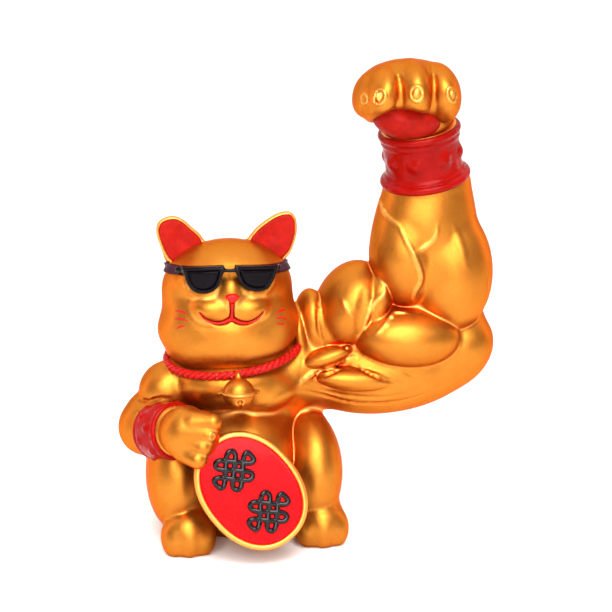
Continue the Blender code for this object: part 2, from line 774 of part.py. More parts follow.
def build():
    """Makes every piece, fits them to each other and paints them."""
    clear_scene()
    gold = paint("satin_gold", GOLD, 0.85, 0.36)
    torso = make_torso()
    head = make_head()
    raised_arm = make_raised_arm()
    raised_paw = make_raised_paw()
    lowered_arm = make_lowered_arm()
    lowered_paw = make_lowered_paw()
    step = CUFF_HIGH - CUFF_LOW
    raised_cuff = make_cuff(
        "raised_cuff",
        CUFF_LOW,
        CUFF_LOW + step,
        WRIST_RADIUS + 0.1,
        (CUFF_FOOT_RADIUS, CUFF_WAIST_RADIUS, CUFF_TOP_RADIUS),
        STUD_RADIUS,
        STUD_COUNT,
    )
    lowered_cuff = make_cuff(
        "lowered_cuff",
        LOW_CUFF_REAR,
        LOW_CUFF_FRONT,
        LOW_WRIST_RADIUS + 0.1,
        (LOW_CUFF_RADIUS, LOW_CUFF_WAIST, LOW_CUFF_RADIUS),
        LOW_STUD_RADIUS,
        STUD_COUNT,
    )
    collar = make_collar()
    bell = make_bell()
    spot = front_of(head)
    glasses = make_glasses()
    lenses = [make_lens("lens_left", -1.0), make_lens("lens_right", 1.0)]
    temples = [make_temple("temple_left", head, -1.0), make_temple("temple_right", head, 1.0)]
    inlays = [
        make_ear_inlay("ear_inlay_left", LEFT_EAR[0], LEFT_EAR[1]),
        make_ear_inlay("ear_inlay_right", RIGHT_EAR[0], RIGHT_EAR[1]),
    ]
    nose = make_nose(spot)
    mouth = make_mouth(spot)
    palm = make_palm_pad()
    plate, face = make_coin()
    motifs = [
        make_motif("koban_knot_upper", -MOTIF_OFFSET, 45.0),
        make_motif("koban_knot_lower", MOTIF_OFFSET, 45.0),
    ]
    dowel, stopper, ballast = make_core()

    # Face pieces: lenses and frame sit just off the head
    for piece in (glasses, *lenses):
        cut(piece, swollen(head, GAP))
    for temple, inlay in zip(temples, inlays):
        seat(glasses, temple)
        seat(inlay, temple)
    seat(nose, glasses)
    seat(nose, mouth)
    for piece in (nose, mouth, *inlays):
        seat(piece, head)

    # Wrists
    seat(raised_cuff, raised_arm)
    seat(raised_cuff, raised_paw)
    seat(raised_cuff, palm)
    seat(palm, raised_paw)
    seat(raised_paw, raised_arm)
    seat(lowered_cuff, lowered_arm)
    seat(lowered_cuff, lowered_paw)
    seat(lowered_paw, lowered_arm)

    # Coin
    seat(lowered_paw, plate)
    seat(lowered_paw, face)

    # Neck and shoulders
    seat(bell, collar)
    for piece in (collar, raised_arm):
        seat(piece, head)
    seat(collar, raised_arm)
    seat(collar, lowered_arm)
    seat(head, lowered_arm)
    seat(head, torso)
    room = (LOW_CUFF_FRONT - LOW_CUFF_REAR).normalized() * 0.6
    reach = LOW_CUFF_WAIST + LOW_STUD_RADIUS + 0.9
    bore(torso, LOW_CUFF_REAR - room, LOW_CUFF_FRONT + room, reach)
    for piece in (raised_arm, lowered_arm, lowered_paw, plate, collar, bell):
        seat(piece, torso)

    # Hidden core
    bore(torso, (BORE_X, BORE_Y, -5.0), (BORE_X, BORE_Y, BORE_DEPTH), BORE_RADIUS)
    stretch = (DOWEL_END - DOWEL_START).normalized() * 0.5
    for body in (torso, raised_arm):
        bore(body, DOWEL_START - stretch, DOWEL_END + stretch, DOWEL_RADIUS + SOCKET_GAP, 18)

    red_gloss = paint("gloss_red", RED, 0.0, 0.18, 0.6)
    finish(raised_cuff, red_gloss)
    finish(lowered_cuff, paint("gloss_red_low", RED, 0.0, 0.18, 0.6))
    for obj in (torso, head, raised_arm, raised_paw, lowered_arm, lowered_paw, bell, plate):
        own = gold.copy()
        own.name = "gold_" + obj.name
        finish(obj, own)
    finish(collar, paint("crimson_cord", (0.42, 0.01, 0.02), 0.0, 0.55))
    finish(glasses, paint("gloss_black", (0.01, 0.01, 0.012), 0.0, 0.08, 0.5))
    for index, lens in enumerate(lenses):
        finish(lens, paint(f"lens_black_{index}", (0.008, 0.008, 0.01), 0.0, 0.05, 0.5))
    for index, temple in enumerate(temples):
        finish(temple, paint(f"dark_plum_{index}", (0.05, 0.01, 0.02), 0.0, 0.3))
    for index, inlay in enumerate(inlays):
        finish(inlay, paint(f"dull_red_{index}", (0.5, 0.02, 0.01), 0.0, 0.5))
    finish(nose, paint("nose_red", (0.6, 0.01, 0.01), 0.0, 0.3))
    finish(mouth, paint("mouth_red", (0.6, 0.01, 0.01), 0.0, 0.3))
    finish(palm, paint("palm_red", (0.5, 0.015, 0.01), 0.0, 0.4))
    finish(face, paint("enamel_red", (0.8, 0.0, 0.005), 0.0, 0.25, 0.4))
    for index, motif in enumerate(motifs):
        finish(motif, paint(f"relief_black_{index}", (0.01, 0.01, 0.01), 0.0, 0.15))
    finish(dowel, paint("pin_steel", (0.55, 0.55, 0.57), 1.0, 0.35))
    finish(ballast, paint("ballast_iron", (0.2, 0.2, 0.21), 1.0, 0.6))
    finish(stopper, paint("stopper_rubber", (0.75, 0.74, 0.7), 0.0, 0.6))


build()
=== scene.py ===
"""Looks of the beckoning cat figurine: sculpted skins, painted trim, light and camera."""

import math

import bmesh
import bpy
import numpy as np
from mathutils import Euler, Matrix, Vector


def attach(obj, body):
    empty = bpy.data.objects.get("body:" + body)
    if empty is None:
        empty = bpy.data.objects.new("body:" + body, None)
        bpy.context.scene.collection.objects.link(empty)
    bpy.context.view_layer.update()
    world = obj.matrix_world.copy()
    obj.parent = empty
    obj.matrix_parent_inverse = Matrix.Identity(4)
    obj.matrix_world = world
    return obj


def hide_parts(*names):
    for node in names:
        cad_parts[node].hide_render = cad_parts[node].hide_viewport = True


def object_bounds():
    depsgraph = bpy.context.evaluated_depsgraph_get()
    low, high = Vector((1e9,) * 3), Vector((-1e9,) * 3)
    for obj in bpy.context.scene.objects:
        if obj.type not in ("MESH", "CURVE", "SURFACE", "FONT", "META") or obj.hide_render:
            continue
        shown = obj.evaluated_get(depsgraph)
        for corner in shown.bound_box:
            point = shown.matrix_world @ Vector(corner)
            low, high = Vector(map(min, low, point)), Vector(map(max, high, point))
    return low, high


MM = 0.001
BODY = "figure"

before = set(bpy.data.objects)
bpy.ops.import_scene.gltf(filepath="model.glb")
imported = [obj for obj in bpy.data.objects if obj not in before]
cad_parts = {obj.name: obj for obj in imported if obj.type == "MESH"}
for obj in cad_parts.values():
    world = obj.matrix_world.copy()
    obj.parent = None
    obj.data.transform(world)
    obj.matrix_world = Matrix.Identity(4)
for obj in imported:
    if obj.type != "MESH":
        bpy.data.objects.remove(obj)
CAD_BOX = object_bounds()
scene = bpy.context.scene
scene.view_settings.view_transform = "Standard"


# --- sculpting

CORNERS = [(a, b, c) for a in (0, 1) for b in (0, 1) for c in (0, 1)]
EDGES = [
    (p, q)
    for p in range(8)
    for q in range(p + 1, 8)
    if sum(abs(CORNERS[p][n] - CORNERS[q][n]) for n in range(3)) == 1
]


FAR_AWAY = 8.0
LOOSE = 3.0
WHOLE_GRID = (200.0, 200.0, 200.0)
CREASE_REACH = 2.2


def spin_of(turn):
    """Rotation matrix of turns in degrees about X, Y and Z."""
    return np.array(Euler([math.radians(a) for a in turn]).to_matrix(), np.float32)


def smooth_min(a, b, k):
    """The lower of two distances, rounded where they are within k of each other."""
    if k <= 0.0:
        return np.minimum(a, b)
    h = np.maximum(k - np.abs(a - b), 0.0) / k
    return np.minimum(a, b) - h * h * (k * 0.25)


def spline(points, step=0.6):
    """A smooth curve through the points, as many close points."""
    points = np.array(points, float)
    padded = np.vstack([2 * points[0] - points[1], points, 2 * points[-1] - points[-2]])
    out = []
    for n in range(1, len(padded) - 2):
        p0, p1, p2, p3 = padded[n - 1 : n + 3]
        count = max(2, int(np.linalg.norm(p2 - p1) / step))
        for t in np.arange(count) / count:
            bow = (2 * p0 - 5 * p1 + 4 * p2 - p3) * t**2
            twist = (3 * p1 - p0 - 3 * p2 + p3) * t**3
            out.append(0.5 * (2 * p1 + (p2 - p0) * t + bow + twist))
    out.append(points[-1])
    return np.array(out)


def outline_distance(outline, x, z):
    """Signed distance to a closed outline, for every pairing of the x and z values."""
    outline = np.array(outline, float)
    gx, gz = np.meshgrid(x, z, indexing="ij")
    best = np.full(gx.shape, 1e9)
    within = np.zeros(gx.shape, bool)
    for n in range(len(outline)):
        ax, az = outline[n - 1]
        bx, bz = outline[n]
        ex, ez = bx - ax, bz - az
        share = np.clip(((gx - ax) * ex + (gz - az) * ez) / (ex * ex + ez * ez + 1e-12), 0, 1)
        best = np.minimum(best, (gx - ax - share * ex) ** 2 + (gz - az - share * ez) ** 2)
        crosses = (az > gz) != (bz > gz)
        slant = (gz - az) * ex / (ez or 1.0) + ax
        within ^= crosses & (gx < slant)
    return (np.sqrt(best) * np.where(within, -1.0, 1.0)).astype(np.float32)


def closed_curve(points, step=0.8):
    """A smooth closed outline through the points."""
    points = [tuple(p) for p in points]
    around = points[-2:] + points + points[:2]
    path = spline(around, step)
    away = np.linalg.norm(path - np.array(points[0]), axis=1)
    half = len(path) // 2
    return path[int(np.argmin(away[:half])) : half + int(np.argmin(away[half:]))]


def circle(centre, axis, radius, count=48):
    """Points of a closed circle about an axis."""
    spin = Vector(axis).to_track_quat("Z", "Y").to_matrix()
    out = []
    for n in range(count + 1):
        turn = 2 * math.pi * n / count
        out.append(Vector(centre) + spin @ Vector((radius * math.cos(turn), radius * math.sin(turn), 0.0)))
    return np.array([tuple(p) for p in out])


class Clay:
    """A block of clay: the distance to its skin at the points of a grid, in millimetres."""

    def __init__(self, low, high, step):
        self.step = step
        self.low = np.array(low, np.float32)
        size = np.ceil((np.array(high) - self.low) / step).astype(int) + 1
        self.field = np.full(size, FAR_AWAY, np.float32)

    @classmethod
    def of(cls, field, low, step):
        """Clay made from a grid of distances."""
        clay = cls.__new__(cls)
        clay.field, clay.low, clay.step = field, low, step
        return clay

    def window(self, low, high):
        """The part of the grid between two corners, and its X, Y and Z."""
        size = np.array(self.field.shape)
        first = np.clip(np.floor((np.array(low) - self.low) / self.step), 0, size).astype(int)
        last = np.clip(np.ceil((np.array(high) - self.low) / self.step) + 1, 0, size).astype(int)
        part = tuple(slice(a, b) for a, b in zip(first, last))
        axes = [
            self.low[n] + self.step * np.arange(first[n], last[n], dtype=np.float32)
            for n in range(3)
        ]
        return part, axes[0][:, None, None], axes[1][None, :, None], axes[2][None, None, :]

    def mix(self, part, distance, k, dig):
        """Adds the shape to the clay, or digs it out."""
        old = self.field[part]
        if dig:
            self.field[part] = -smooth_min(-old, distance, k)
        else:
            self.field[part] = smooth_min(old, distance, k)

    def blob(self, centre, radii, turn=(0, 0, 0), k=1.0, dig=False):
        """An ellipsoid."""
        centre = np.array(centre, np.float32)
        spin = spin_of(turn)
        half = np.sqrt(((spin * np.array(radii, np.float32)) ** 2).sum(1)) + k + 3.0
        part, x, y, z = self.window(centre - half, centre + half)
        x, y, z = x - centre[0], y - centre[1], z - centre[2]
        near = 0.0
        far = 0.0
        for n in range(3):
            along = spin[0, n] * x + spin[1, n] * y + spin[2, n] * z
            near = near + (along / radii[n]) ** 2
            far = far + (along / radii[n] ** 2) ** 2
        near = np.sqrt(near)
        distance = near * (near - 1.0) / np.sqrt(far + 1e-12)
        self.mix(part, distance, k, dig)

    def limb(self, start, end, r1, r2, k=1.0, dig=False):
        """A rod with round ends and two radii."""
        start = np.array(start, np.float32)
        end = np.array(end, np.float32)
        reach = max(r1, r2) + k + 2.0
        part, x, y, z = self.window(np.minimum(start, end) - reach, np.maximum(start, end) + reach)
        line = end - start
        x, y, z = x - start[0], y - start[1], z - start[2]
        share = (x * line[0] + y * line[1] + z * line[2]) / float(line @ line + 1e-9)
        share = np.clip(share, 0.0, 1.0)
        off = (x - share * line[0]) ** 2 + (y - share * line[1]) ** 2 + (z - share * line[2]) ** 2
        self.mix(part, np.sqrt(off) - r1 - (r2 - r1) * share, k, dig)

    def tube(self, points, radii, k=0.6, dig=False):
        """Short limbs along a curve; radii are shared out along it."""
        shares = np.linspace(0.0, 1.0, len(points))
        sizes = np.interp(shares, np.linspace(0.0, 1.0, len(radii)), radii)
        low = points.min(0) - max(radii) - k - 2.0
        high = points.max(0) + max(radii) + k + 2.0
        part, x, y, z = self.window(low, high)
        best = np.full(self.field[part].shape, 50.0, np.float32)
        whole = Clay.of(best, self.low + np.array([p.start for p in part]) * self.step, self.step)
        for n in range(len(points) - 1):
            whole.limb(points[n], points[n + 1], sizes[n], sizes[n + 1], 0.0)
        self.mix(part, whole.field, k, dig)

    def plate(self, outline, front, back, soft=0.4, grow=0.0, k=0.3, dig=False, bend=0.0, about=0.0):
        """A plate of this outline in X and Z between two Y values, bent back about a line."""
        outline = np.array(outline)
        reach = max(grow, 0.0) + soft + 1.5
        swing = bend * np.max((outline[:, 0] - about) ** 2)
        low = (outline[:, 0].min() - reach, front - reach, outline[:, 1].min() - reach)
        high = (outline[:, 0].max() + reach, back + swing + reach, outline[:, 1].max() + reach)
        part, x, y, z = self.window(low, high)
        flat = outline_distance(outline, x[:, 0, 0], z[0, 0, :])[:, None, :] - grow + soft
        level = y - bend * (x - about) ** 2 - (front + back) / 2
        deep = np.abs(level) - (back - front) / 2 + soft
        outer = np.sqrt(np.maximum(flat, 0.0) ** 2 + np.maximum(deep, 0.0) ** 2)
        self.mix(part, np.minimum(np.maximum(flat, deep), 0.0) + outer - soft, k, dig)

    def lathe(self, start, end, profile, k=0.5, dig=False):
        """A round solid about the line; the profile pairs a way along it with a radius."""
        start = np.array(start, np.float32)
        end = np.array(end, np.float32)
        reach = max(r for _, r in profile) + 2.0
        part, x, y, z = self.window(np.minimum(start, end) - reach, np.maximum(start, end) + reach)
        line = (end - start) / np.linalg.norm(end - start)
        length = float(np.linalg.norm(end - start))
        x, y, z = x - start[0], y - start[1], z - start[2]
        along = x * line[0] + y * line[1] + z * line[2]
        radial = np.sqrt(np.maximum(x * x + y * y + z * z - along * along, 0.0))
        ways = np.array([w for w, _ in profile])
        sizes = np.array([r for _, r in profile])
        side = radial - np.interp(along, ways, sizes).astype(np.float32)
        ends = np.maximum(-along, along - length)
        self.mix(part, -smooth_min(-side, -ends, 0.8), k, dig)

    def skin_y(self, x, z):
        """The Y of the first skin met from the front at this x and z."""
        n = int(round((x - self.low[0]) / self.step))
        m = int(round((z - self.low[2]) / self.step))
        column = self.field[n, :, m]
        met = np.flatnonzero((column[:-1] >= 0) & (column[1:] < 0))
        if not len(met):
            return 0.0
        share = column[met[0]] / (column[met[0]] - column[met[0] + 1])
        return self.low[1] + self.step * (met[0] + share)

    def trace(self, points, lift=0.0):
        """A smooth curve over the front skin through these (x, z) points."""
        rough = spline([(x, self.skin_y(x, z) - lift, z) for x, z in points], 1.0)
        fitted = np.array([(x, self.skin_y(x, z) - lift, z) for x, _, z in rough])
        loose = np.abs(fitted[:, 1] - rough[:, 1]) > LOOSE
        fitted[loose] = rough[loose]
        return fitted

    def groove(self, points, radius, depth, k=0.5):
        """A groove that fades out at both ends."""
        path = self.trace(points, radius - depth)
        self.tube(path, [radius * 0.3, radius, radius, radius * 0.3], k, True)

    def ridge(self, points, radius, height, k=0.8):
        """A raised line that fades out at both ends."""
        path = self.trace(points, height - radius)
        self.tube(path, [radius * 0.3, radius, radius, radius * 0.3], k)

    def sample(self, spots):
        """The distance at any points, read between the grid's own."""
        place = (spots - self.low) / self.step
        top = np.array(self.field.shape) - 2
        base = np.clip(np.floor(place).astype(int), 0, top)
        part = np.clip(place - base, 0.0, 1.0)
        total = 0.0
        for corner in CORNERS:
            weight = 1.0
            for n in range(3):
                weight = weight * (part[:, n] if corner[n] else 1 - part[:, n])
            at = base + corner
            total = total + weight * self.field[at[:, 0], at[:, 1], at[:, 2]]
        return total

    def slope(self, spots):
        """The direction away from the skin at any points."""
        out = []
        for n in range(3):
            shift = np.zeros(3)
            shift[n] = self.step * 0.7
            out.append(self.sample(spots + shift) - self.sample(spots - shift))
        out = np.array(out).T
        return out / (np.linalg.norm(out, axis=1, keepdims=True) + 1e-9)

    def piece(self, name, material, node, slot, whole=None, deep=CREASE_REACH, place=None):
        """Casts the skin as the piece that stands for a CAD node; place carries it over."""
        points, quads = nets(self.field, self.low, self.step)
        for _ in range(2):
            points = points - (self.sample(points) * 0.9)[:, None] * self.slope(points)
        around = whole or self
        normal = around.slope(points)
        # Two masks for the paints, read from the field: how shut in each point is, for painted shade in
        # creases, and how far it stands out, for painted highlight on crests.
        crease_shade = np.zeros(len(points))
        for reach in (deep * 0.5, deep):
            seen = around.sample(points + normal * reach)
            crease_shade += 0.5 * np.clip((reach - seen) / reach, 0.0, 1.0)
        crest_highlight = around.sample(points - normal * deep * 0.6)
        crest_highlight = np.clip((crest_highlight + deep * 0.6) / (deep * 0.6), 0.0, 1.0)
        if place is not None:
            turned = np.array(place.to_3x3())
            points = points @ turned.T + np.array(place.translation)
        mesh = mesh_of(name, points, quads, (("crease_shade", crease_shade), ("crest_highlight", crest_highlight)))
        dress(name, mesh, material, node)


def nets(field, low, step):
    """Surface nets: one point in each cell the skin crosses, one quad on each crossed edge."""
    inside = field < 0
    wide, deep, tall = (count - 1 for count in inside.shape)
    total = sum(
        inside[a : a + wide, b : b + deep, c : c + tall].astype(np.uint8) for a, b, c in CORNERS
    )
    active = (total > 0) & (total < 8)
    cells = np.argwhere(active)
    index = np.full(active.shape, -1, np.int32)
    index[active] = np.arange(len(cells), dtype=np.int32)
    values = [field[cells[:, 0] + a, cells[:, 1] + b, cells[:, 2] + c] for a, b, c in CORNERS]
    place = np.zeros((len(cells), 3))
    count = np.zeros(len(cells))
    for p, q in EDGES:
        crossed = (values[p] < 0) != (values[q] < 0)
        gap = np.where(crossed, values[p] - values[q], 1.0)
        share = np.where(crossed, values[p] / gap, 0.0)
        first = np.array(CORNERS[p], float)
        second = np.array(CORNERS[q], float)
        place += crossed[:, None] * (first + share[:, None] * (second - first))
        count += crossed
    points = low + step * (cells + place / count[:, None])
    quads = []
    for axis in range(3):
        u, v = (axis + 1) % 3, (axis + 2) % 3
        span = [slice(1, -1)] * 3
        span[axis] = slice(0, -1)
        later = list(span)
        later[axis] = slice(1, None)
        here = inside[tuple(span)]
        there = inside[tuple(later)]
        for out, flag in ((True, here & ~there), (False, ~here & there)):
            spots = np.argwhere(flag)
            spots[:, u] += 1
            spots[:, v] += 1
            ring = []
            for du, dv in ((-1, -1), (0, -1), (0, 0), (-1, 0)):
                cell = spots.copy()
                cell[:, u] += du
                cell[:, v] += dv
                ring.append(index[cell[:, 0], cell[:, 1], cell[:, 2]])
            ring = np.array(ring).T
            quads.append(ring if out else ring[:, ::-1])
    quads = np.vstack(quads)
    return points, quads[(quads >= 0).all(1)]


def mesh_of(name, points, quads, layers):
    """A mesh of quads from points in millimetres, with one value per point in each layer."""
    mesh = bpy.data.meshes.new(name)
    mesh.vertices.add(len(points))
    mesh.vertices.foreach_set("co", (points * MM).astype(np.float32).ravel())
    mesh.loops.add(quads.size)
    mesh.loops.foreach_set("vertex_index", quads.ravel().astype(np.int32))
    mesh.polygons.add(len(quads))
    mesh.polygons.foreach_set("loop_start", np.arange(0, quads.size, 4, dtype=np.int32))
    mesh.update(calc_edges=True)
    mesh.validate()
    for label, values in layers:
        layer = mesh.attributes.new(label, "FLOAT", "POINT")
        layer.data.foreach_set("value", values.astype(np.float32).ravel())
    return mesh


def dress(name, mesh, material, node):
    """Links a mesh as a piece: material, shading, body, and the CAD node it stands for."""
    obj = bpy.data.objects.new(name, mesh)
    scene.collection.objects.link(obj)
    mesh.materials.append(material)
    mesh.polygons.foreach_set("use_smooth", [True] * len(mesh.polygons))
    mesh.update()
    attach(obj, BODY)
    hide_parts(node)


# --- materials


class Paint:
    """A Principled material with short ways to add its nodes."""

    def __init__(self, name, colour, rough, metal=0.0, coat=0.0, coat_rough=0.1, gloss=0.5):
        self.mat = bpy.data.materials.new(name)
        self.mat.use_nodes = True
        self.nodes = self.mat.node_tree.nodes
        self.shader = self.nodes["Principled BSDF"]
        labels = ("Base Color", "Roughness", "Metallic", "Coat Weight", "Coat Roughness", "Specular IOR Level")
        values = ((*colour, 1.0), rough, metal, coat, coat_rough, gloss)
        for label, value in zip(labels, values):
            self.shader.inputs[label].default_value = value
        self.place = self.nodes.new("ShaderNodeTexCoord").outputs["Object"]

    def wire(self, start, end):
        self.mat.node_tree.links.new(start, end)

    def noise(self, scale, detail=3.0, rough=0.5):
        """Noise at features per metre."""
        node = self.nodes.new("ShaderNodeTexNoise")
        for label, value in (("Scale", scale), ("Detail", detail), ("Roughness", rough)):
            node.inputs[label].default_value = value
        self.wire(self.place, node.inputs["Vector"])
        return node.outputs["Fac"]

    def ramp(self, value, stops):
        """Maps a value to colours."""
        node = self.nodes.new("ShaderNodeValToRGB")
        line = node.color_ramp.elements
        while len(line) < len(stops):
            line.new(0.5)
        for element, (spot, colour) in zip(line, stops):
            element.position = spot
            element.color = (*colour, 1.0)
        self.wire(value, node.inputs["Fac"])
        return node.outputs["Color"]

    def level(self, value, low, high, to_low, to_high):
        """Maps a value range to another."""
        node = self.nodes.new("ShaderNodeMapRange")
        labels = ("From Min", "From Max", "To Min", "To Max")
        for label, number in zip(labels, (low, high, to_low, to_high)):
            node.inputs[label].default_value = number
        self.wire(value, node.inputs["Value"])
        return node.outputs["Result"]

    def blend(self, factor, first, second):
        """Mixes two colours; a plain tuple is a fixed colour."""
        node = self.nodes.new("ShaderNodeMix")
        node.data_type = "RGBA"
        for value, socket in zip((factor, first, second), (node.inputs[n] for n in (0, 6, 7))):
            if isinstance(value, tuple):
                socket.default_value = (*value, 1.0)
            elif isinstance(value, float):
                socket.default_value = value
            else:
                self.wire(value, socket)
        return node.outputs[2]

    def attribute(self, name):
        node = self.nodes.new("ShaderNodeAttribute")
        node.attribute_name = name
        return node.outputs["Fac"]

    def colour(self, socket):
        self.wire(socket, self.shader.inputs["Base Color"])

    def rough(self, socket):
        self.wire(socket, self.shader.inputs["Roughness"])

    def bump(self, socket, distance):
        """Bump of a real height in metres."""
        node = self.nodes.new("ShaderNodeBump")
        node.inputs["Distance"].default_value = distance
        self.wire(socket, node.inputs["Height"])
        old = self.shader.inputs["Normal"]
        if old.is_linked:
            self.wire(old.links[0].from_socket, node.inputs["Normal"])
        self.wire(node.outputs["Normal"], old)


def gold_paint(name):
    """Satin gold over an orange ground, with painted highlight of pale gold on crests and painted shade of
    deep red-orange in creases.
    """
    paint = Paint(name, (0.43, 0.142, 0.014), 0.4, 1)
    paint.shader.inputs["Specular Tint"].default_value = (1, 0.45, 0.42, 1)
    cloud = paint.noise(60, 3)
    base = paint.ramp(cloud, ((0.3, (0.4, 0.124, 0.011)), (0.7, (0.46, 0.16, 0.017))))
    flake = paint.noise(5200, 2, 0.6)
    base = paint.blend(paint.level(flake, 0.45, 0.75, 0, 0.3), base, (0.74, 0.4, 0.1))
    # Painted shade: points deep in creases are turned dark red-orange.
    crease_shade = paint.attribute("crease_shade")
    base = paint.blend(paint.level(crease_shade, 0.24, 0.72, 0, 0.9), base, (0.42, 0.036, 0.005))
    # Painted highlight: points on crests are turned pale gold.
    crest_highlight = paint.attribute("crest_highlight")
    base = paint.blend(paint.level(crest_highlight, 0.16, 0.5, 0, 0.5), base, (1, 0.56, 0.14))
    paint.colour(base)
    paint.rough(paint.level(paint.noise(900, 4), 0.25, 0.75, 0.36, 0.47))
    paint.bump(flake, 0.000016)
    paint.bump(paint.noise(380, 2), 0.00005)
    return paint.mat


def gloss_red(name, painted_light_gain=1):
    """Thick brushed-on red enamel, with painted shade in its creases."""
    paint = Paint(name, (0.6, 0.01, 0.01), 0.16, 0, 0.06, 0.04, 0.035)
    cloud = paint.noise(120, 3)
    # The gain makes a lighter copy of the same red for a cuff in stronger light: painted light.
    low = (0.19 * painted_light_gain, 0.002, 0.001)
    high = (0.24 * painted_light_gain, 0.003, 0.002)
    base = paint.ramp(cloud, ((0.3, low), (0.7, high)))
    # Painted shade: the red goes darker in creases.
    base = paint.blend(paint.level(paint.attribute("crease_shade"), 0.1, 0.6, 0, 0.9), base, (0.16, 0.001, 0.001))
    paint.colour(base)
    paint.rough(paint.level(paint.noise(900, 3), 0.3, 0.7, 0.14, 0.22))
    paint.bump(paint.noise(260, 2), 0.00005)
    return paint.mat


def plain_paint(name, shader, cloud, stops, grain, dents):
    """One coat of paint: clouded colour, uneven roughness, fine dents."""
    paint = Paint(name, *shader)
    paint.colour(paint.ramp(paint.noise(*cloud), stops))
    if grain:
        scale, smooth, dull = grain
        paint.rough(paint.level(paint.noise(scale, 3), 0.3, 0.7, smooth, dull))
    scale, detail, height = dents
    paint.bump(paint.noise(scale, detail), height)
    return paint.mat


def dull_red(name, tone=(0.3, 0.006, 0.003)):
    """Flat brushed red with fine strokes."""
    shader = (tone, 0.5, 0, 0, 0.1, 0.07)
    stops = ((0.3, tuple(c * 0.78 for c in tone)), (0.72, tuple(c * 1.18 for c in tone)))
    return plain_paint(name, shader, (300, 4, 0.6), stops, (1500, 0.4, 0.6), (900, 4, 0.00005))


def gloss_black(name, shine=0.022):
    """Gloss black with faint orange peel and dust."""
    tint = (0.003, 0.002, 0.003)
    shader = (tint, 0.08, 0, shine * 2, 0.03, shine)
    stops = ((0.35, tint), (0.75, tuple(c * 1.6 for c in tint)))
    return plain_paint(name, shader, (500, 4), stops, (2500, 0.08, 0.16), (260, 2, 0.00004))


def face_red(name):
    """Bright brushed red of the nose and smile."""
    shader = ((0.56, 0.012, 0.01), 0.35, 0, 0.1, 0.1, 0.12)
    stops = ((0.3, (0.34, 0.003, 0.002)), (0.7, (0.46, 0.006, 0.004)))
    return plain_paint(name, shader, (500, 3), stops, None, (1200, 3, 0.00003))


def plum(name):
    """Satin dark plum of the straps."""
    shader = ((0.05, 0.012, 0.026), 0.46, 0, 0, 0.15, 0.03)
    stops = ((0.3, (0.022, 0.004, 0.012)), (0.72, (0.036, 0.006, 0.018)))
    return plain_paint(name, shader, (400, 3), stops, (1500, 0.3, 0.48), (500, 3, 0.00004))


def enamel(name):
    """Bright red pooled enamel."""
    shader = ((0.8, 0.002, 0.006), 0.2, 0, 0.1, 0.05, 0.06)
    stops = ((0.3, (0.66, 0.001, 0.003)), (0.7, (0.8, 0.002, 0.005)))
    return plain_paint(name, shader, (180, 3), stops, (900, 0.2, 0.34), (200, 2, 0.00008))


def collar_paint(name):
    """Crimson rope with pale specks, and painted shade between the strands."""
    paint = Paint(name, (0.46, 0.008, 0.008), 0.34, 0, 0.04, 0.1, 0.06)
    base = paint.ramp(paint.noise(240, 3), ((0.3, (0.34, 0.004, 0.003)), (0.7, (0.46, 0.007, 0.005))))
    # Painted shade: darker where the strands meet.
    deep = paint.level(paint.attribute("crease_shade"), 0.25, 0.9, 0, 0.9)
    base = paint.blend(deep, base, (0.14, 0.002, 0.004))
    speck = paint.level(paint.noise(1700, 2), 0.66, 0.72, 0, 0.4)
    paint.colour(paint.blend(speck, base, (0.85, 0.35, 0.33)))
    paint.bump(paint.noise(900, 3), 0.00008)
    return paint.mat


def plain_metal(name, low, high, rough, bump):
    """Worn metal of a hidden piece."""
    stops = ((0.3, low), (0.7, high))
    grain = (1200, rough * 0.8, rough * 1.2)
    return plain_paint(name, (high, rough, 1), (300, 4), stops, grain, (800, 4, bump))


def soft_rubber(name):
    """Milky soft plug with moulding haze."""
    stops = ((0.3, (0.66, 0.64, 0.57)), (0.7, (0.78, 0.77, 0.71)))
    shader = ((0.72, 0.7, 0.64), 0.5)
    return plain_paint(name, shader, (260, 3), stops, (1500, 0.42, 0.58), (700, 3, 0.00005))


def repaint_kept():
    """Gives the kept pieces of the CAD their finish."""
    steel = plain_metal("steel_pin", (0.42, 0.42, 0.43), (0.6, 0.6, 0.61), 0.3, 0.00002)
    iron = plain_metal("iron_slug", (0.1, 0.1, 0.105), (0.22, 0.215, 0.21), 0.6, 0.0002)
    finishes = (
        ("shoulder_dowel", steel),
        ("ballast_slug", iron),
        ("base_stopper", soft_rubber("stopper_rubber_paint")),
    )
    for node, material in finishes:
        obj = bpy.data.objects[node]
        obj.data.materials.clear()
        obj.data.materials.append(material)


# --- body and arms

HEAD_ROLL = -2.5


def build_torso(clay):
    """Body, belly and chest."""
    clay.blob((2, 6, 28), (30, 28, 33), k=4)
    clay.blob((3, 11, 17), (36, 26, 22.5), k=6)
    clay.blob((-0.5, 3, 56), (26, 21, 22), k=6)
    clay.blob((-2.6, 0.5, 66), (26.6, 23.6, 12.5), (6, -4, 0), k=4)
    clay.blob((1.5, -11, 35), (19, 24.5, 22), k=5)
    clay.blob((-3, -10, 66), (21, 16, 10.5), k=2)
    clay.blob((9, -9.5, 61), (14, 14.5, 7.5), (0, -18, 0), k=3)


def build_legs(clay):
    """Haunches that fold over the feet, three toes on each, and the tail."""
    for side, hip, foot, toe_y in ((1, 27.2, 30.8, -22.5), (-1, -25, -22.8, -26)):
        clay.blob((hip - 6 * side, 14, 21), (18.5, 19.5, 22), k=5)
        clay.blob((hip, -4, 27.5), (13.3, 24.5, 24), (0, 0, 6 * side), k=1.2)
        heel = (foot - 1.5 * side, -10, 8.5)
        clay.limb(heel, (foot, toe_y + 3.5, 8), 10, 9.6, k=1)
        clay.limb((foot, -16, 11.5), (foot, toe_y + 1, 9.4), 8.6, 7.4, k=2.5)
        for toe in (-1, 0, 1):
            spot = (foot + 5.9 * toe, toe_y + 0.2 + 1.6 * abs(toe), 6.4)
            clay.blob(spot, (4.9, 7.4, 7.2), (8, 0, -6 * toe), k=2)
    clay.limb((9, 33, 7.5), (20, 36, 10), 6, 6.5, k=2)
    clay.limb((20, 36, 10), (27, 31, 15), 6.5, 5, k=2)


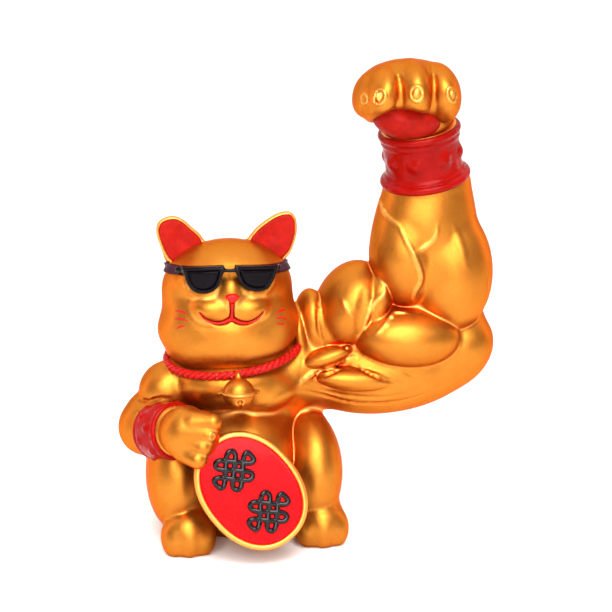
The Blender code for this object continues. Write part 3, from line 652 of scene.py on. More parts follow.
def build_upper_arm(clay):
    """Shoulder root, trapezius, deltoid, biceps and the long triceps strands."""
    clay.blob((22, 3, 66), (18, 17.5, 16), k=5)
    clay.blob((62, 3, 66), (37, 20.5, 18.4), (0, -7, 0), k=6)
    clay.blob((89.5, 3, 75.5), (15.6, 17.5, 14.5), (0, -30, 0), k=7)
    clay.blob((38, 4, 84), (15, 15, 14), k=6)
    clay.blob((55, 5, 88), (12, 15, 16), k=5)
    clay.blob((24, 2, 80), (4.4, 12, 14.5), (0, -6, 0), k=2)
    clay.blob((30, 3, 85.6), (7.2, 13, 14), (0, -4, 0), k=1)
    clay.blob((45, 2.5, 92.6), (13.4, 19.4, 19), (0, 26, 0), k=0.8)
    clay.blob((54.4, 1.5, 95.5), (7.2, 17.8, 15.6), (0, 14, 0), k=0.8)
    clay.blob((60, 0, 86), (10, 15.5, 9), (0, -30, 0), k=1)
    clay.blob((67, -9.5, 81.2), (21.4, 15, 12.2), (0, 2, 0), k=1.4)


def detail_upper_arm(clay):
    """Leaf muscles, straps and creases on the front of the upper arm."""
    clay.blob((33.6, -10, 74.4), (11, 6.4, 3.7), (0, -18, -6), k=0.5)
    clay.blob((46, -13, 65.8), (16.6, 7.4, 4.9), (0, 4, 0), k=0.5)
    clay.ridge([(21.7, 64.8), (27, 68), (36, 72), (45.5, 74.2)], 1.5, 1.1, 0.5)
    clay.groove([(24, 64.4), (31, 67.7), (38, 70.2), (43.4, 71.8)], 0.9, 0.9)
    clay.groove([(43.6, 71.6), (50, 68.9), (56, 66.2), (63.5, 63.9)], 0.8, 0.7)
    clay.groove([(23, 62.4), (31.9, 59.2), (40.4, 56.2), (51.2, 55.2), (64.8, 56.4), (75, 59.2)], 0.9, 0.8)
    clay.groove([(26.9, 63.2), (36, 59.9), (45, 58.6), (56.5, 58.4), (66, 59.8)], 0.8, 0.6)
    clay.groove([(35, 79.4), (40, 79), (44, 77), (47.4, 76.6)], 0.8, 0.7)
    clay.ridge([(48.6, 84.4), (52, 84.8), (56, 88.4), (60, 92), (64, 92.4), (69, 91.8)], 0.9, 0.6, 0.5)
    clay.ridge([(39.6, 98.5), (41.4, 94.4), (44, 91)], 0.9, 0.5, 0.8)
    clay.ridge([(54.6, 106.4), (56.6, 101), (52, 96.4), (49, 90), (48.4, 85.2)], 1, 0.7, 0.7)
    clay.groove([(48.2, 102), (47.4, 96), (46.4, 90), (45.8, 84)], 2.2, 0.8, 2)
    clay.blob((40.6, -21, 84), (5.2, 4.4, 7), (0, 24, 0), k=1.2, dig=True)
    clay.groove([(64, 68.6), (67, 67.6), (71, 68)], 0.6, 0.45)
    clay.groove([(31.6, 97), (31, 92), (31, 86), (32.5, 80)], 1, 0.8)


CUFF_LOW = Vector((75, -1.5, 143.8))
CUFF_HIGH = Vector((71, -6.2, 164.8))


def build_forearm(clay):
    """Two long bulges that hang over the biceps and narrow to the wrist."""
    clay.blob((80, 6, 94), (21, 16, 24), k=5)
    clay.limb((78.5, 1, 112), (76, -0.5, 140), 21, 17.6, k=6)
    clay.blob((66.5, -3.5, 113), (14.2, 17.4, 20.4), (-3, -4, 0), k=1)
    clay.blob((84.6, -3.5, 108), (17.6, 18.6, 26), (-4, -4, 0), k=1.4)
    clay.blob((72, -1, 126), (17, 18, 18), k=4)
    clay.limb(CUFF_LOW, CUFF_LOW.lerp(CUFF_HIGH, 0.9), 12.4, 12.4, k=3)


def detail_forearm(clay):
    """Veins, tendons and the small leaf muscle on the outer side."""
    vein = [(61.6, 127.4), (64, 122), (66.6, 117), (69, 110.8), (69.8, 106.4), (67.8, 100.6), (68, 95)]
    clay.ridge(vein, 1.2, 0.9, 0.7)
    clay.ridge([(76.4, 128.4), (75.2, 123), (71.2, 119.2), (67, 117.2)], 1, 0.7, 0.7)
    clay.ridge([(61.6, 127.4), (57.6, 131), (56.6, 136)], 0.9, 0.5, 0.9)
    clay.ridge([(83, 127), (85.4, 119), (87.4, 111)], 1.6, 0.4, 1.6)
    clay.blob((56.2, -10, 117), (2.4, 4, 6.6), (0, 6, 0), k=0.5)
    clay.groove([(97.6, 107), (98.6, 99), (98.4, 92)], 0.8, 0.6)


LOW_REAR = Vector((-33.8, -9, 46))
LOW_FRONT = Vector((-26.6, -22.4, 49.6))


def build_lowered_arm(clay):
    """Shoulder cap, upper arm and short forearm."""
    clay.limb((-23, -1, 63.5), (-33, 0, 51), 11.4, 11, k=1.5)
    clay.blob((-29.5, -1.5, 61.5), (10.4, 12, 11.6), (0, 36, 0), k=1)
    clay.limb((-34.5, 1, 49), (-37, 0, 45.5), 11.6, 11, k=2)
    clay.blob((-37.4, -1, 46.8), (10.4, 11, 11), k=2)
    clay.limb((-37, -0.5, 45.5), LOW_REAR, 11, 10, k=2)
    clay.limb(LOW_REAR, LOW_REAR.lerp(LOW_FRONT, 0.9), 8.4, 8.4, k=2)
    clay.groove([(-41.4, 57.4), (-37, 58.6), (-32, 60.6), (-28, 60)], 1, 0.8, 0.8)
    clay.groove([(-42.6, 53.4), (-38.6, 54.2), (-34.6, 55.8)], 0.9, 0.6, 0.8)


def cast_body():
    """One field for body and arms, parted where the castings meet."""
    clay = Clay((-53, -44, -2), (110, 46, 159), 0.65)
    build_torso(clay)
    build_legs(clay)
    build_upper_arm(clay)
    build_forearm(clay)
    build_lowered_arm(clay)
    detail_upper_arm(clay)
    detail_forearm(clay)
    _, x, y, z = clay.window(clay.low, WHOLE_GRID)
    clay.field = np.maximum(clay.field, -z)
    right = 22.5 - x + 0.16 * (z - 66)
    left = x + 24 + 0.34 * (z - 60) + 0.2 * np.maximum(y, 0)
    left = np.maximum(left, 33.5 - z)
    sets = (
        ("torso_skin", -np.minimum(right, left), "torso_casting", "gold_body", (-50, 50)),
        ("raised_arm_skin", right, "raised_arm_casting", "gold_arm", (10, 110)),
        ("lowered_arm_skin", left, "lowered_arm_casting", "gold_low_arm", (-53, 0)),
    )
    for name, region, node, slot, (x0, x1) in sets:
        inward = 0.14 * np.clip(region, 0, 4)
        field = np.maximum(clay.field + inward, region - 1.5)
        first = max(0, int((x0 - clay.low[0]) / clay.step))
        last = int((x1 - clay.low[0]) / clay.step)
        low = clay.low + np.array([first * clay.step, 0, 0], np.float32)
        own = Clay.of(field[first:last], low, clay.step)
        own.piece(name, gold_paint("paint_" + name), node, slot, whole=clay)


# --- head

EAR_LEFT = [
    (-27.6, 112.6), (-31, 119.9), (-31.9, 125), (-30.4, 128.5), (-25.6, 130.2), (-21.4, 128.8),
    (-17.6, 125.4), (-14.4, 122.2), (-12.6, 117.5), (-15.5, 111.5), (-22, 109.5),
]
EAR_RIGHT = [
    (2.9, 117), (6.7, 123.5), (10.9, 127.2), (16, 130.2), (20.8, 131), (23.5, 128.5),
    (24, 123.3), (22.8, 118.1), (20.6, 113.6), (15, 109.5), (8, 111),
]
EAR_FRONT, EAR_BACK = 0.8, 6
MOUTH = [
    (-17.2, 96.2), (-15, 93.8), (-11.4, 92.3), (-7.8, 92.6), (-5, 93.9),
    (-2.4, 92.6), (1.1, 92), (4.8, 93.2), (7.4, 95.7),
]
STEM = [(-4.8, 100.6), (-4.8, 97.4), (-4.9, 94.2)]
NOSE = ((-6.1, 102.8, 1.35, 1), (-3.3, 102.7, 1.35, 1), (-4.7, 103.1, 1.7, 1.1), (-4.7, 101.7, 1.7, 1.5))
WHISKERS = (
    [(-26.1, 95.6), (-23.7, 95.8), (-21.2, 94.9)],
    [(-26.3, 92.7), (-24.4, 93.1), (-21.5, 92.7)],
    [(-25.7, 89.2), (-24.4, 90.1), (-22.4, 90.8)],
    [(12.6, 94.3), (14.7, 95.3), (16.6, 95.3)],
    [(12.9, 92.6), (14.9, 92.7), (17.3, 91.7)],
    [(12.9, 90.8), (14.9, 90.3), (16.9, 88.7)],
)


def build_head():
    """Wide jaw, flat crown, petal ears, muzzle, sockets under the glasses."""
    clay = Clay((-38, -32, 60), (31, 30, 134), 0.45)
    clay.blob((-3.8, -0.5, 86.4), (28.5, 24.3, 17.2), (0, HEAD_ROLL, 0), k=2)
    clay.blob((-4.4, 0.5, 101.5), (26, 21.8, 19.6), (0, HEAD_ROLL, 0), k=6)
    clay.blob((-15.4, -12, 107.6), (8.5, 7.6, 6), k=4)
    clay.blob((5.8, -12, 107.6), (8.5, 7.6, 6), k=4)
    clay.limb((-3.5, 0.5, 68), (-3.5, 0.5, 80), 15, 19, k=2)
    clay.blob((-3.8, 0.5, 77.6), (24.8, 19, 8.6), (0, HEAD_ROLL, 0), k=3)
    clay.blob((-3.8, -10.5, 80.8), (21, 12.8, 9.8), k=5)
    clay.blob((-18, -9, 91), (9, 10, 8.5), k=4)
    clay.blob((10, -9, 91), (9, 10, 8.5), k=4)
    clay.blob((-10.6, -17.6, 96.8), (9, 7.4, 5.4), (0, 8, 10), k=3.2)
    clay.blob((1, -17.6, 96.6), (9, 7.4, 5.4), (0, -8, -10), k=3.2)
    clay.blob((-4.8, -18.4, 103.4), (4.6, 6.4, 6.6), k=4)
    clay.blob((-4.8, -16.4, 88.8), (9.6, 7.4, 4.2), k=3)
    clay.ridge([(-22, 106.4), (-20, 103.8), (-16.2, 102.9), (-12.4, 103.7), (-9.6, 106.6)], 1.6, 0.9, 2)
    clay.ridge([(-1.2, 106.2), (1.4, 104), (5.6, 103.2), (9.4, 104.2), (12.2, 107.6)], 1.6, 0.9, 2)
    ears = Clay(clay.low, (31, 30, 134), 0.45)
    for outline, x, lean in ((EAR_LEFT, -20.6, -22), (EAR_RIGHT, 12.6, 22)):
        petal = closed_curve(outline)
        ears.plate(petal, EAR_FRONT, EAR_BACK, soft=2.3)
        ears.blob((x, 7.6, 115.6), (8.6, 6, 9.6), (0, lean, 0), k=2.5)
        ears.plate(petal, EAR_FRONT - 6, EAR_FRONT + 1.5, soft=0.3, grow=-0.9, k=0.5, dig=True)
    clay.field = smooth_min(clay.field, ears.field, 1)
    return clay


def build_face(head):
    """Nose, smile and whiskers in red; the smile and its stem lie in a shallow groove of the head."""
    tip = head.skin_y(-4.6, 103)
    lines = ((MOUTH, [0.25, 0.42, 0.48, 0.58, 0.75, 0.58, 0.48, 0.42, 0.25]), (STEM, [0.75, 0.48, 0.65]))
    paths = [(head.trace(points), sizes) for points, sizes in lines]
    strokes = [(head.trace(points), [0.24, 0.46, 0.44, 0.24]) for points in WHISKERS]
    red = Clay((-28.5, -31, 86), (20, -2, 106), 0.22)
    for path, sizes in paths:
        head.tube(path, [size + 0.25 for size in sizes], 0.7, True)
        path[:, 1] += 0.28
        red.tube(path, sizes, 0.3)
    for path, sizes in strokes:
        path[:, 1] += 0.12
        red.tube(path, sizes, 0.2)
    for x, z, across, tall in NOSE:
        red.blob((x, tip - 0.1, z), (across, 1.5, tall), k=0.7)
    height = (red.low[2] + red.step * np.arange(red.field.shape[2], dtype=np.float32))[None, None, :]
    nose = Clay.of(np.maximum(red.field, 100.7 - height), red.low, red.step)
    red.field = np.maximum(red.field, height - 100.5)
    red.piece("smile_and_whiskers", face_red("paint_smile"), "mouth_line", "face_red")
    nose.piece("nose_tip", face_red("paint_nose"), "nose", "face_red")


def build_ear_linings():
    """The flat red inner face of each ear."""
    for name, outline in (("left", EAR_LEFT), ("right", EAR_RIGHT)):
        petal = closed_curve(outline)
        low = (petal[:, 0].min() - 2, EAR_FRONT - 2, petal[:, 1].min() - 2)
        high = (petal[:, 0].max() + 2, EAR_BACK, petal[:, 1].max() + 2)
        clay = Clay(low, high, 0.35)
        clay.plate(petal, EAR_FRONT + 0.9, EAR_FRONT + 2.6, soft=0.5, grow=-1.1)
        middle = petal.mean(0)
        clay.blob((middle[0], EAR_FRONT - 6.6, middle[1] + 2), (8, 8, 10), k=1, dig=True)
        clay.piece("ear_lining_" + name, dull_red("paint_ear_" + name), "ear_inlay_" + name, "ear_red")


# --- sunglasses

RIM_LEFT = [
    (-23.7, 114.6), (-23, 112.2), (-21.6, 108), (-19.4, 105.5), (-16.1, 104.7),
    (-12.8, 105.2), (-10.2, 107.3), (-8.4, 112), (-7.9, 114.5),
]
RIM_RIGHT = [
    (-3.2, 114.4), (-2.6, 111.4), (-0.6, 107.3), (2.8, 105.3), (5.8, 104.9),
    (8.8, 105.7), (11.1, 109), (12.4, 112.3), (13.1, 114.4),
]
GLASSES_X = -4.8
WRAP = 0.0165


def wrapped(outline):
    """The outline moved so that it looks the same from the front once it is bent back."""
    out = []
    for x, z in outline:
        back = WRAP * (x - GLASSES_X) ** 2
        out.append((x + 0.1 * back, z - 0.19 * back))
    return out


def build_glasses(head):
    """Flat-topped gloss black rims, domed lenses, a thin bridge and the plum straps."""
    rims = Clay((-27, -28, 102), (17, -10, 117), 0.25)
    for name, outline in (("left", RIM_LEFT), ("right", RIM_RIGHT)):
        shape = wrapped(outline)
        ring = np.vstack([spline(shape, 0.8), np.linspace(shape[-1], shape[0], 8)[1:-1]])
        rims.plate(ring, -25.2, -20.6, 0.75, grow=0.35, bend=WRAP, about=GLASSES_X)
        rims.plate(ring, -32, -24.1, 0.5, -0.95, 0.25, True, WRAP, GLASSES_X)
        lens = Clay((ring[:, 0].min() - 2, -28, 102), (ring[:, 0].max() + 2, -12, 117), 0.25)
        lens.plate(ring, -24.85, -21.5, 1.1, -1.15, bend=WRAP, about=GLASSES_X)
        lens.piece("lens_glass_" + name, gloss_black("paint_lens_" + name), "lens_" + name, "lens_black")
    bar = spline([(-8.6, -24.4, 113.3), (-5.6, -24.6, 113), (-2.6, -24.4, 113.2)])
    rims.tube(bar, [0.85, 0.6, 0.85], 0.8)
    rims.limb((-5.6, -24.4, 113), (-5.6, -20.5, 112.4), 0.55, 0.55, 0.5)
    for side, x, z in ((-1, -23.4, 112.6), (1, 12.8, 112.6)):
        back = -24.2 + WRAP * (x - GLASSES_X) ** 2
        rims.limb((x - side * 1.6, back + 0.6, z), (x + side * 1, back + 3.6, z - 0.4), 1.2, 1.4, 0.8)
    rims.piece("glasses_rims", gloss_black("paint_rims", shine=0.045), "sunglasses_frame", "glasses_black")
    for name, side, edge in (("left", -1, -23.6), ("right", 1, 13.2)):
        x, y, z = head.window(head.low, WHOLE_GRID)[1:]
        shell = np.maximum(head.field - 1.15, -(head.field + 1.2))
        band = np.abs(z - 111.9 + 0.1 * (y + 18)) - 1.7
        field = -smooth_min(-shell, -band, 0.8)
        field = np.maximum(field, side * (edge - x))
        field = np.maximum(field, np.maximum(y - 9, -24 - y)).astype(np.float32)
        strap = Clay.of(field, head.low, head.step)
        strap.piece("glasses_strap_" + name, plum("paint_strap_" + name), "temple_" + name, "strap_plum")


# --- collar and bell


def build_collar():
    """A rope of three strands closed round the neck."""
    steps, sides = 820, 20
    tilt = np.array(Euler((math.radians(9.5), math.radians(-8), 0)).to_matrix())
    turn = 2 * math.pi * np.arange(steps)[:, None] / steps
    angle = 2 * math.pi * np.arange(sides)[None, :] / sides
    strands = np.abs(np.cos(1.5 * angle - 30 * turn)) ** 0.8
    lay = 1.3 + 0.42 * strands
    radial = lay * np.cos(angle)
    x = (26.8 + radial) * np.cos(turn)
    y = (24.6 + radial) * np.sin(turn)
    z = lay * np.sin(angle)
    points = np.stack([x, y, z], -1).reshape(-1, 3) @ tilt.T + np.array((-2.2, -0.6, 76.4))
    n, m = np.meshgrid(np.arange(steps), np.arange(sides), indexing="ij")
    n2, m2 = (n + 1) % steps, (m + 1) % sides
    corners = [n * sides + m, n2 * sides + m, n2 * sides + m2, n * sides + m2]
    quads = np.stack(corners, -1).reshape(-1, 4)
    # The rope's mask, 1 - strands, is highest between the strands, where the paint lays painted shade.
    mesh = mesh_of("collar_rope", points, quads, (("crease_shade", 1 - strands),))
    dress("collar_rope", mesh, collar_paint("paint_collar"), "collar_cord")


def build_bell():
    """A jingle bell with a belt, lugs, a sound slot and a round hole at its front end."""
    x, y, z = -3, -29, 65.6
    clay = Clay((x - 9, y - 9, z - 9), (x + 9, y + 9, z + 10), 0.22)
    clay.blob((x, y, z), (6.1, 6.1, 6.1), k=0.1)
    clay.tube(circle((x, y, z + 0.5), (0, 0, 1), 6.1), [0.7, 0.7], 0.3)
    clay.tube(circle((x, y, z + 0.5), (0, 0, 1), 6.5), [0.45, 0.45], 0.3)
    clay.limb((x, y + 0.6, z + 5.6), (x, y + 1.2, z + 7), 1.3, 1.1, 0.8)
    clay.limb((x - 6.2, y, z + 0.5), (x - 7.4, y + 0.3, z + 0.3), 1, 0.9, 0.5)
    clay.limb((x + 6.2, y, z + 0.5), (x + 7.4, y + 0.3, z + 0.3), 1, 0.9, 0.5)
    slot = [(x, y + 4, z - 6), (x, y, z - 6.6), (x, y - 3.6, z - 5.2), (x, y - 5.6, z - 2.6)]
    clay.tube(spline(slot), [0.55, 0.55, 0.6], 0.3, True)
    clay.blob((x, y - 5.8, z - 2.3), (1.15, 1.6, 1.15), k=0.3, dig=True)
    clay.piece("bell_body", gold_paint("paint_bell"), "bell", "gold_bell", deep=1.4)


# --- paws and cuffs


FINGER_SEAMS = (
    [(58.6, 190), (59.3, 184), (59.6, 178), (60.2, 171.5)],
    [(72.8, 190), (72.5, 184), (72.2, 178), (71.6, 171.5)],
)
# Place in X and Z, half width, half height and lean of each claw's ring.
CLAWS = (
    (46.6, 177.4, 0.9, 1.9, 0),
    (51, 178.7, 2, 2.7, 0.25),
    (64.8, 180, 2.3, 2.9, 0),
    (78.8, 179.2, 1.8, 2.7, -0.25),
)


def build_raised_paw():
    """A clenched mushroom of four fingers over the palm, with ringed claws."""
    clay = Clay((40, -37, 158), (91, 10, 194.5), 0.36)
    clay.blob((65.4, -11.8, 179.3), (20.4, 16.4, 12.7), k=2)
    clay.blob((50.2, -11.5, 177.4), (6.2, 12, 8.4), (0, 18, 0), k=2)
    clay.blob((53.9, -14, 178.5), (7.4, 16.4, 11.7), (0, 14, 0), k=0.8)
    clay.blob((65.8, -15, 179.4), (8.2, 17.4, 12.8), k=0.8)
    clay.blob((77.4, -13.2, 178.8), (7.8, 16.8, 11.8), (0, -12, 0), k=0.8)
    for seam in FINGER_SEAMS:
        clay.groove(seam, 1.1, 0.45, 0.8)
    clay.blob((61, -25, 162), (15, 17, 11.4), (0, -4, 0), k=3, dig=True)
    clay.limb(CUFF_LOW.lerp(CUFF_HIGH, 0.6), CUFF_HIGH + Vector((0, 0, 1.5)), 12.8, 13.2, k=2)
    clay.blob((71.4, -6.5, 168), (12.4, 11.5, 8.5), k=2.5)
    for x, z, wide, tall, lean in CLAWS:
        ring = []
        for n in range(17):
            turn = 2 * math.pi * n / 16
            dx, dz = wide * math.cos(turn), tall * math.sin(turn)
            px, pz = x + dx + lean * dz, z + dz
            middle_y, own_y = clay.skin_y(x, z), clay.skin_y(px, pz)
            ring.append((px, own_y if abs(own_y - middle_y) < 2.4 else middle_y, pz))
        clay.tube(np.array(ring), [0.5, 0.5], 0.4)
        clay.blob((x, clay.skin_y(x, z) + 0.25, z), (wide * 0.62, 0.7, tall * 0.62), k=0.5)
    rim = CUFF_HIGH - CUFF_LOW
    clay.tube(circle(CUFF_HIGH - rim.normalized() * 0.2, rim, 14.3, 60), [0.8, 0.8], 0.5)
    clay.piece("raised_paw_skin", gold_paint("paint_raised_paw"), "raised_paw", "gold_paw")
    palm = Clay((47, -34, 157), (82, 2, 182), 0.4)
    palm.blob((64.6, -14, 169.4), (13.8, 10.8, 8.8), (0, 8, 0), k=0.5)
    palm.blob((64, -28, 174.6), (10, 6, 4.6), k=3, dig=True)
    palm.piece("palm_red", dull_red("paint_palm", (0.26, 0.005, 0.002)), "palm_pad", "palm_red")


def stud_spots(low, high, share, radius, count, shift=0.5):
    """Places of studs round a cuff."""
    axis = (high - low).normalized()
    side = axis.cross(Vector((0, 1, 0))).normalized()
    across = axis.cross(side)
    middle = low.lerp(high, share)
    for n in range(count):
        turn = 2 * math.pi * (n + shift) / count
        out = side * math.cos(turn) + across * math.sin(turn)
        yield middle + out * radius


def build_cuffs():
    """Two glossy red cuffs with rolled rims and soft studs."""
    axis = (CUFF_HIGH - CUFF_LOW).normalized()
    clay = Clay((51, -27, 136), (97, 18, 172), 0.4)
    length = (CUFF_HIGH - CUFF_LOW).length
    profile = ((0, 16.6), (3.5, 15.5), (9, 15), (14, 15.1), (18.5, 15.4), (length, 15.2))
    clay.lathe(CUFF_LOW, CUFF_HIGH, profile)
    clay.tube(circle(CUFF_LOW + axis * 1.3, axis, 16.5, 60), [1.6, 1.6], 1)
    clay.tube(circle(CUFF_LOW + axis * 3.6, axis, 15.6, 60), [0.7, 0.7], 0.8)
    clay.tube(circle(CUFF_HIGH - axis * 1.2, axis, 15, 60), [1.5, 1.5], 1)
    clay.tube(circle(CUFF_HIGH - axis * 4, axis, 14.9, 60), [0.8, 0.8], 1)
    for spot in stud_spots(CUFF_LOW, CUFF_HIGH, 0.5, 13.3, 8):
        clay.blob(spot, (3, 3, 3), k=1.8)
    clay.lathe(CUFF_HIGH - axis * 1.2, CUFF_HIGH + axis * 3, ((0, 13.9), (4.2, 14.2)), dig=True)
    clay.piece("raised_cuff_enamel", gloss_red("paint_raised_cuff"), "raised_cuff", "cuff_red")
    axis = (LOW_FRONT - LOW_REAR).normalized()
    length = (LOW_FRONT - LOW_REAR).length
    clay = Clay((-55, -34, 28), (-14, 8, 66), 0.4)
    profile = ((0, 10.4), (3, 11.3), (8, 11.6), (13, 11.1), (length, 10.3))
    clay.lathe(LOW_REAR, LOW_FRONT, profile)
    clay.tube(circle(LOW_REAR + axis * 1, axis, 10.3, 48), [1.1, 1.1], 0.9)
    clay.tube(circle(LOW_FRONT - axis * 1, axis, 10.3, 48), [1.2, 1.2], 0.9)
    for share, shift in ((0.32, 0.5), (0.68, 0)):
        for spot in stud_spots(LOW_REAR, LOW_FRONT, share, 10.8, 7, shift):
            clay.blob(spot, (1.5, 1.5, 1.5), k=1.6)
    # The lowered cuff takes a lighter copy of the same red: painted light.
    clay.piece("lowered_cuff_enamel", gloss_red("paint_lowered_cuff", 1.15), "lowered_cuff", "low_cuff_red")


def build_lowered_paw():
    """A fist that lies on the coin's edge, with four fingers and a small claw."""
    clay = Clay((-39, -50, 36), (-7, -16, 67), 0.34)
    clay.limb(LOW_REAR.lerp(LOW_FRONT, 0.7), (-25, -28.5, 51), 8.6, 8.8, k=1)
    clay.blob((-23.4, -31.6, 51.2), (9.2, 9.4, 11), k=2)
    clay.blob((-18.6, -35.8, 51.4), (7.6, 6.2, 9.8), (0, 10, 0), k=2)
    for n in range(4):
        share = n / 3
        root = Vector((-20.5, -36.4, 57.2)).lerp(Vector((-24.6, -36, 45.2)), share)
        tip = Vector((-14, -39.4, 57.4)).lerp(Vector((-20, -41, 43.4)), share)
        clay.limb(root, tip, 4.1, 3.6, k=1.6)
    axis = LOW_FRONT - LOW_REAR
    clay.tube(circle(LOW_FRONT + axis.normalized() * 0.6, axis, 8.9, 40), [1.2, 1.2], 0.8)
    ring = []
    for n in range(13):
        turn = 2 * math.pi * n / 12
        x, z = -14.6 + 1.1 * math.cos(turn), 52.9 + 1.3 * math.sin(turn)
        ring.append((x, clay.skin_y(x, z), z))
    clay.tube(np.array(ring), [0.36, 0.36], 0.3)
    clay.piece("lowered_paw_skin", gold_paint("paint_lowered_paw"), "lowered_paw", "gold_low_paw")


# --- coin

COIN_CENTRE = (0.4, -39, 29.6)
COIN_HALF = (24.4, 19)
COIN_FRONT = -2.5
KNOT_STEP = 3.9


def coin_place():
    """Carries the coin's own frame (X along it, -Y out of its face) to its place."""
    lean, turn = math.radians(12), math.radians(-52)
    right = Vector((1, 0, 0))
    rise = Vector((0, math.sin(lean), math.cos(lean)))
    out = right.cross(rise)
    along = right * math.cos(turn) + rise * math.sin(turn)
    across = out.cross(along)
    return Matrix.Translation(COIN_CENTRE) @ Matrix((along, -out, across)).transposed().to_4x4()


def knot_path():
    """One closed cord woven three by three, with round loops at its ends."""
    a = KNOT_STEP
    e = a * 1.75
    t = a * 2.25
    return [
        (-a, 0), (-a, e), (-a * 0.5, t), (0, e), (0, 0), (0, -e), (a * 0.5, -t), (a, -e), (a, 0),
        (a, e), (a * 1.45, t * 0.98), (t * 0.98, a * 1.45), (e, a), (0, a), (-e, a), (-t, a * 0.5), (-e, 0),
        (0, 0), (e, 0), (t, -a * 0.5), (e, -a), (0, -a), (-e, -a),
        (-t * 0.98, -a * 1.45), (-a * 1.45, -t * 0.98), (-a, -e),
    ]


def build_coin():
    """A gold oval plate with a round rim, red enamel and two woven black knots."""
    place = coin_place()
    turns = 2 * math.pi * np.arange(120) / 120
    power = 2 / 2.18
    outline = np.stack(
        [
            COIN_HALF[0] * np.sign(np.cos(turns)) * np.abs(np.cos(turns)) ** power,
            COIN_HALF[1] * np.sign(np.sin(turns)) * np.abs(np.sin(turns)) ** power,
        ],
        -1,
    )
    low, high = (-26, -5, -21), (26, 4.5, 21)
    plate = Clay(low, high, 0.4)
    plate.plate(outline, COIN_FRONT, -COIN_FRONT, 1.5)
    plate.plate(outline, COIN_FRONT - 5, COIN_FRONT + 1.6, 0.4, -2.15, 0.6, True)
    plate.piece("coin_plate", gold_paint("paint_coin"), "koban_plate", "gold_coin", place=place)
    face = Clay(low, high, 0.4)
    face.plate(outline, COIN_FRONT + 1.05, COIN_FRONT + 3, 0.5, -2.1)
    face.piece("coin_enamel_face", enamel("paint_enamel"), "koban_face", "coin_enamel", place=place)
    for name, offset in (("upper", -10.4), ("lower", 10.4)):
        knot = Clay((offset - 10.5, -5, -10.5), (offset + 10.5, 1.5, 10.5), 0.26)
        path = closed_curve([(x * 0.84, z * 0.84) for x, z in knot_path()], 0.5)
        quarter = math.radians(45)
        u = path[:, 0] * math.cos(quarter) - path[:, 1] * math.sin(quarter) + offset
        v = path[:, 0] * math.sin(quarter) + path[:, 1] * math.cos(quarter)
        wave = np.cos(math.pi * (path[:, 0] + path[:, 1]) / (KNOT_STEP * 0.84)) * 0.25
        spots = np.stack([u, COIN_FRONT + 0.75 + wave, v], -1)
        spots = np.vstack([spots, spots[:1]])
        knot.tube(spots, [1.08, 1.08], 0.3)
        paint = gloss_black("paint_knot_" + name, shine=0.14)
        knot.piece("coin_knot_" + name, paint, "koban_knot_" + name, "relief_black", place=place)


# --- floor, light, camera


def build_stage():
    """A pale floor that sweeps up into a backdrop."""
    bm = bmesh.new()
    rows = []
    profile = [(-3, 0)]
    for step in range(13):
        angle = math.pi / 2 * step / 12
        profile.append((1.2 + 0.6 * math.sin(angle), 0.6 - 0.6 * math.cos(angle)))
    profile.append((1.8, 3.5))
    for y, z in profile:
        rows.append([bm.verts.new((x, y, z)) for x in (-4, 4)])
    for first, second in zip(rows, rows[1:]):
        bm.faces.new((first[0], first[1], second[1], second[0]))
    mesh = bpy.data.meshes.new("floor")
    bm.to_mesh(mesh)
    bm.free()
    floor = bpy.data.objects.new("floor", mesh)
    scene.collection.objects.link(floor)
    paint = Paint("floor_paper", (0.86, 0.86, 0.86), 0.7)
    paint.colour(paint.ramp(paint.noise(3, 2), ((0.3, (0.9, 0.9, 0.905)), (0.7, (0.93, 0.93, 0.93)))))
    mesh.materials.append(paint.mat)
    mesh.polygons.foreach_set("use_smooth", [True] * len(mesh.polygons))


def area(name, spot, target, size, power, colour=(1, 1, 1)):
    """A soft box aimed at the target."""
    data = bpy.data.lights.new(name, "AREA")
    data.shape = "RECTANGLE"
    data.size, data.size_y = size
    data.energy = power
    data.color = colour
    obj = bpy.data.objects.new(name, data)
    scene.collection.objects.link(obj)
    obj.location = spot
    obj.rotation_euler = (Vector(target) - Vector(spot)).to_track_quat("-Z", "Y").to_euler()


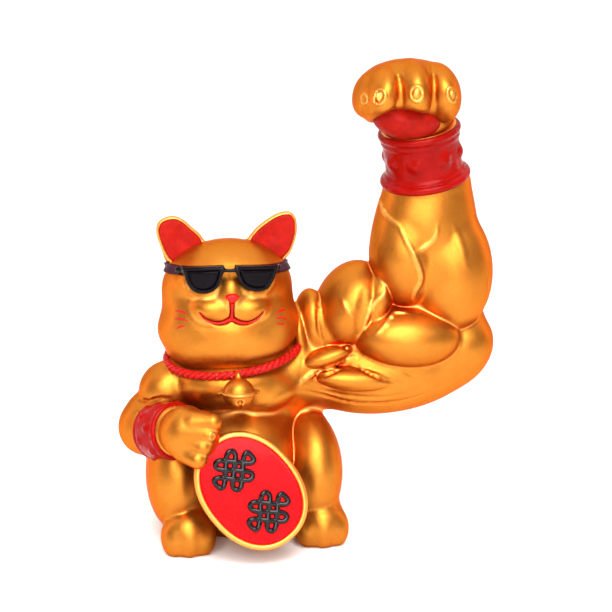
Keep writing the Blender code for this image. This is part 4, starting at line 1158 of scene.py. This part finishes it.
def build_light(middle):
    """Soft studio light: a wide overhead, soft boxes in front and above, pink rims behind."""
    world = bpy.data.worlds.new("surround")
    world.use_nodes = True
    sky = world.node_tree.nodes["Background"].inputs
    sky["Color"].default_value = (1, 0.84, 0.76, 1)
    sky["Strength"].default_value = 0.62
    scene.world = world
    area("overhead", (0, 1.1, 1.6), (0, 1.1, 0), (3.8, 2.6), 36)
    area("key", (-0.42, -0.85, 0.6), middle, (0.42, 0.46), 4.2)
    area("front", (0.08, -1.1, 0.42), middle, (0.55, 0.5), 6)
    area("top", (0.02, -0.6, 0.98), middle, (0.62, 0.42), 9)
    area("floor_fill", (0, -0.72, 0.75), (0, -0.42, 0), (0.8, 0.5), 6.5)
    area("glint", (0.55, -0.55, 0.6), middle, (0.14, 0.2), 0.4)
    area("rim_left", (-0.8, 0.35, 0.3), middle, (0.25, 0.6), 1.6, (1, 0.62, 0.55))
    area("rim_right", (0.85, 0.3, 0.35), middle, (0.25, 0.6), 1.6, (1, 0.62, 0.55))


AIM_SHIFT = (-0.00056, 0.01721, -0.00634)
CAMERA_DISTANCE = 0.697
CAMERA_AZIMUTH = -8
CAMERA_ELEVATION = 12


def build_camera():
    """A view from a little above and a little to the left, through a long lens."""
    low, high = CAD_BOX
    centre = (low + high) / 2
    target = centre + Vector(AIM_SHIFT)
    azimuth, elevation = math.radians(CAMERA_AZIMUTH), math.radians(CAMERA_ELEVATION)
    flat = math.cos(elevation)
    back = Vector((math.sin(azimuth) * flat, -math.cos(azimuth) * flat, math.sin(elevation)))
    data = bpy.data.cameras.new("camera")
    data.lens = 100
    data.sensor_width = 36
    data.clip_start = 0.02
    data.clip_end = 20
    camera = bpy.data.objects.new("camera", data)
    scene.collection.objects.link(camera)
    camera.location = target + back * CAMERA_DISTANCE
    camera.rotation_euler = (-back).to_track_quat("-Z", "Y").to_euler()
    scene.camera = camera
    return centre


repaint_kept()
cast_body()
head = build_head()
build_face(head)
head.piece("head_skin", gold_paint("paint_head"), "head_casting", "gold_head")
build_ear_linings()
build_glasses(head)
build_collar()
build_bell()
build_raised_paw()
build_cuffs()
build_lowered_paw()
build_coin()
middle = build_camera()
build_stage()
build_light(middle)
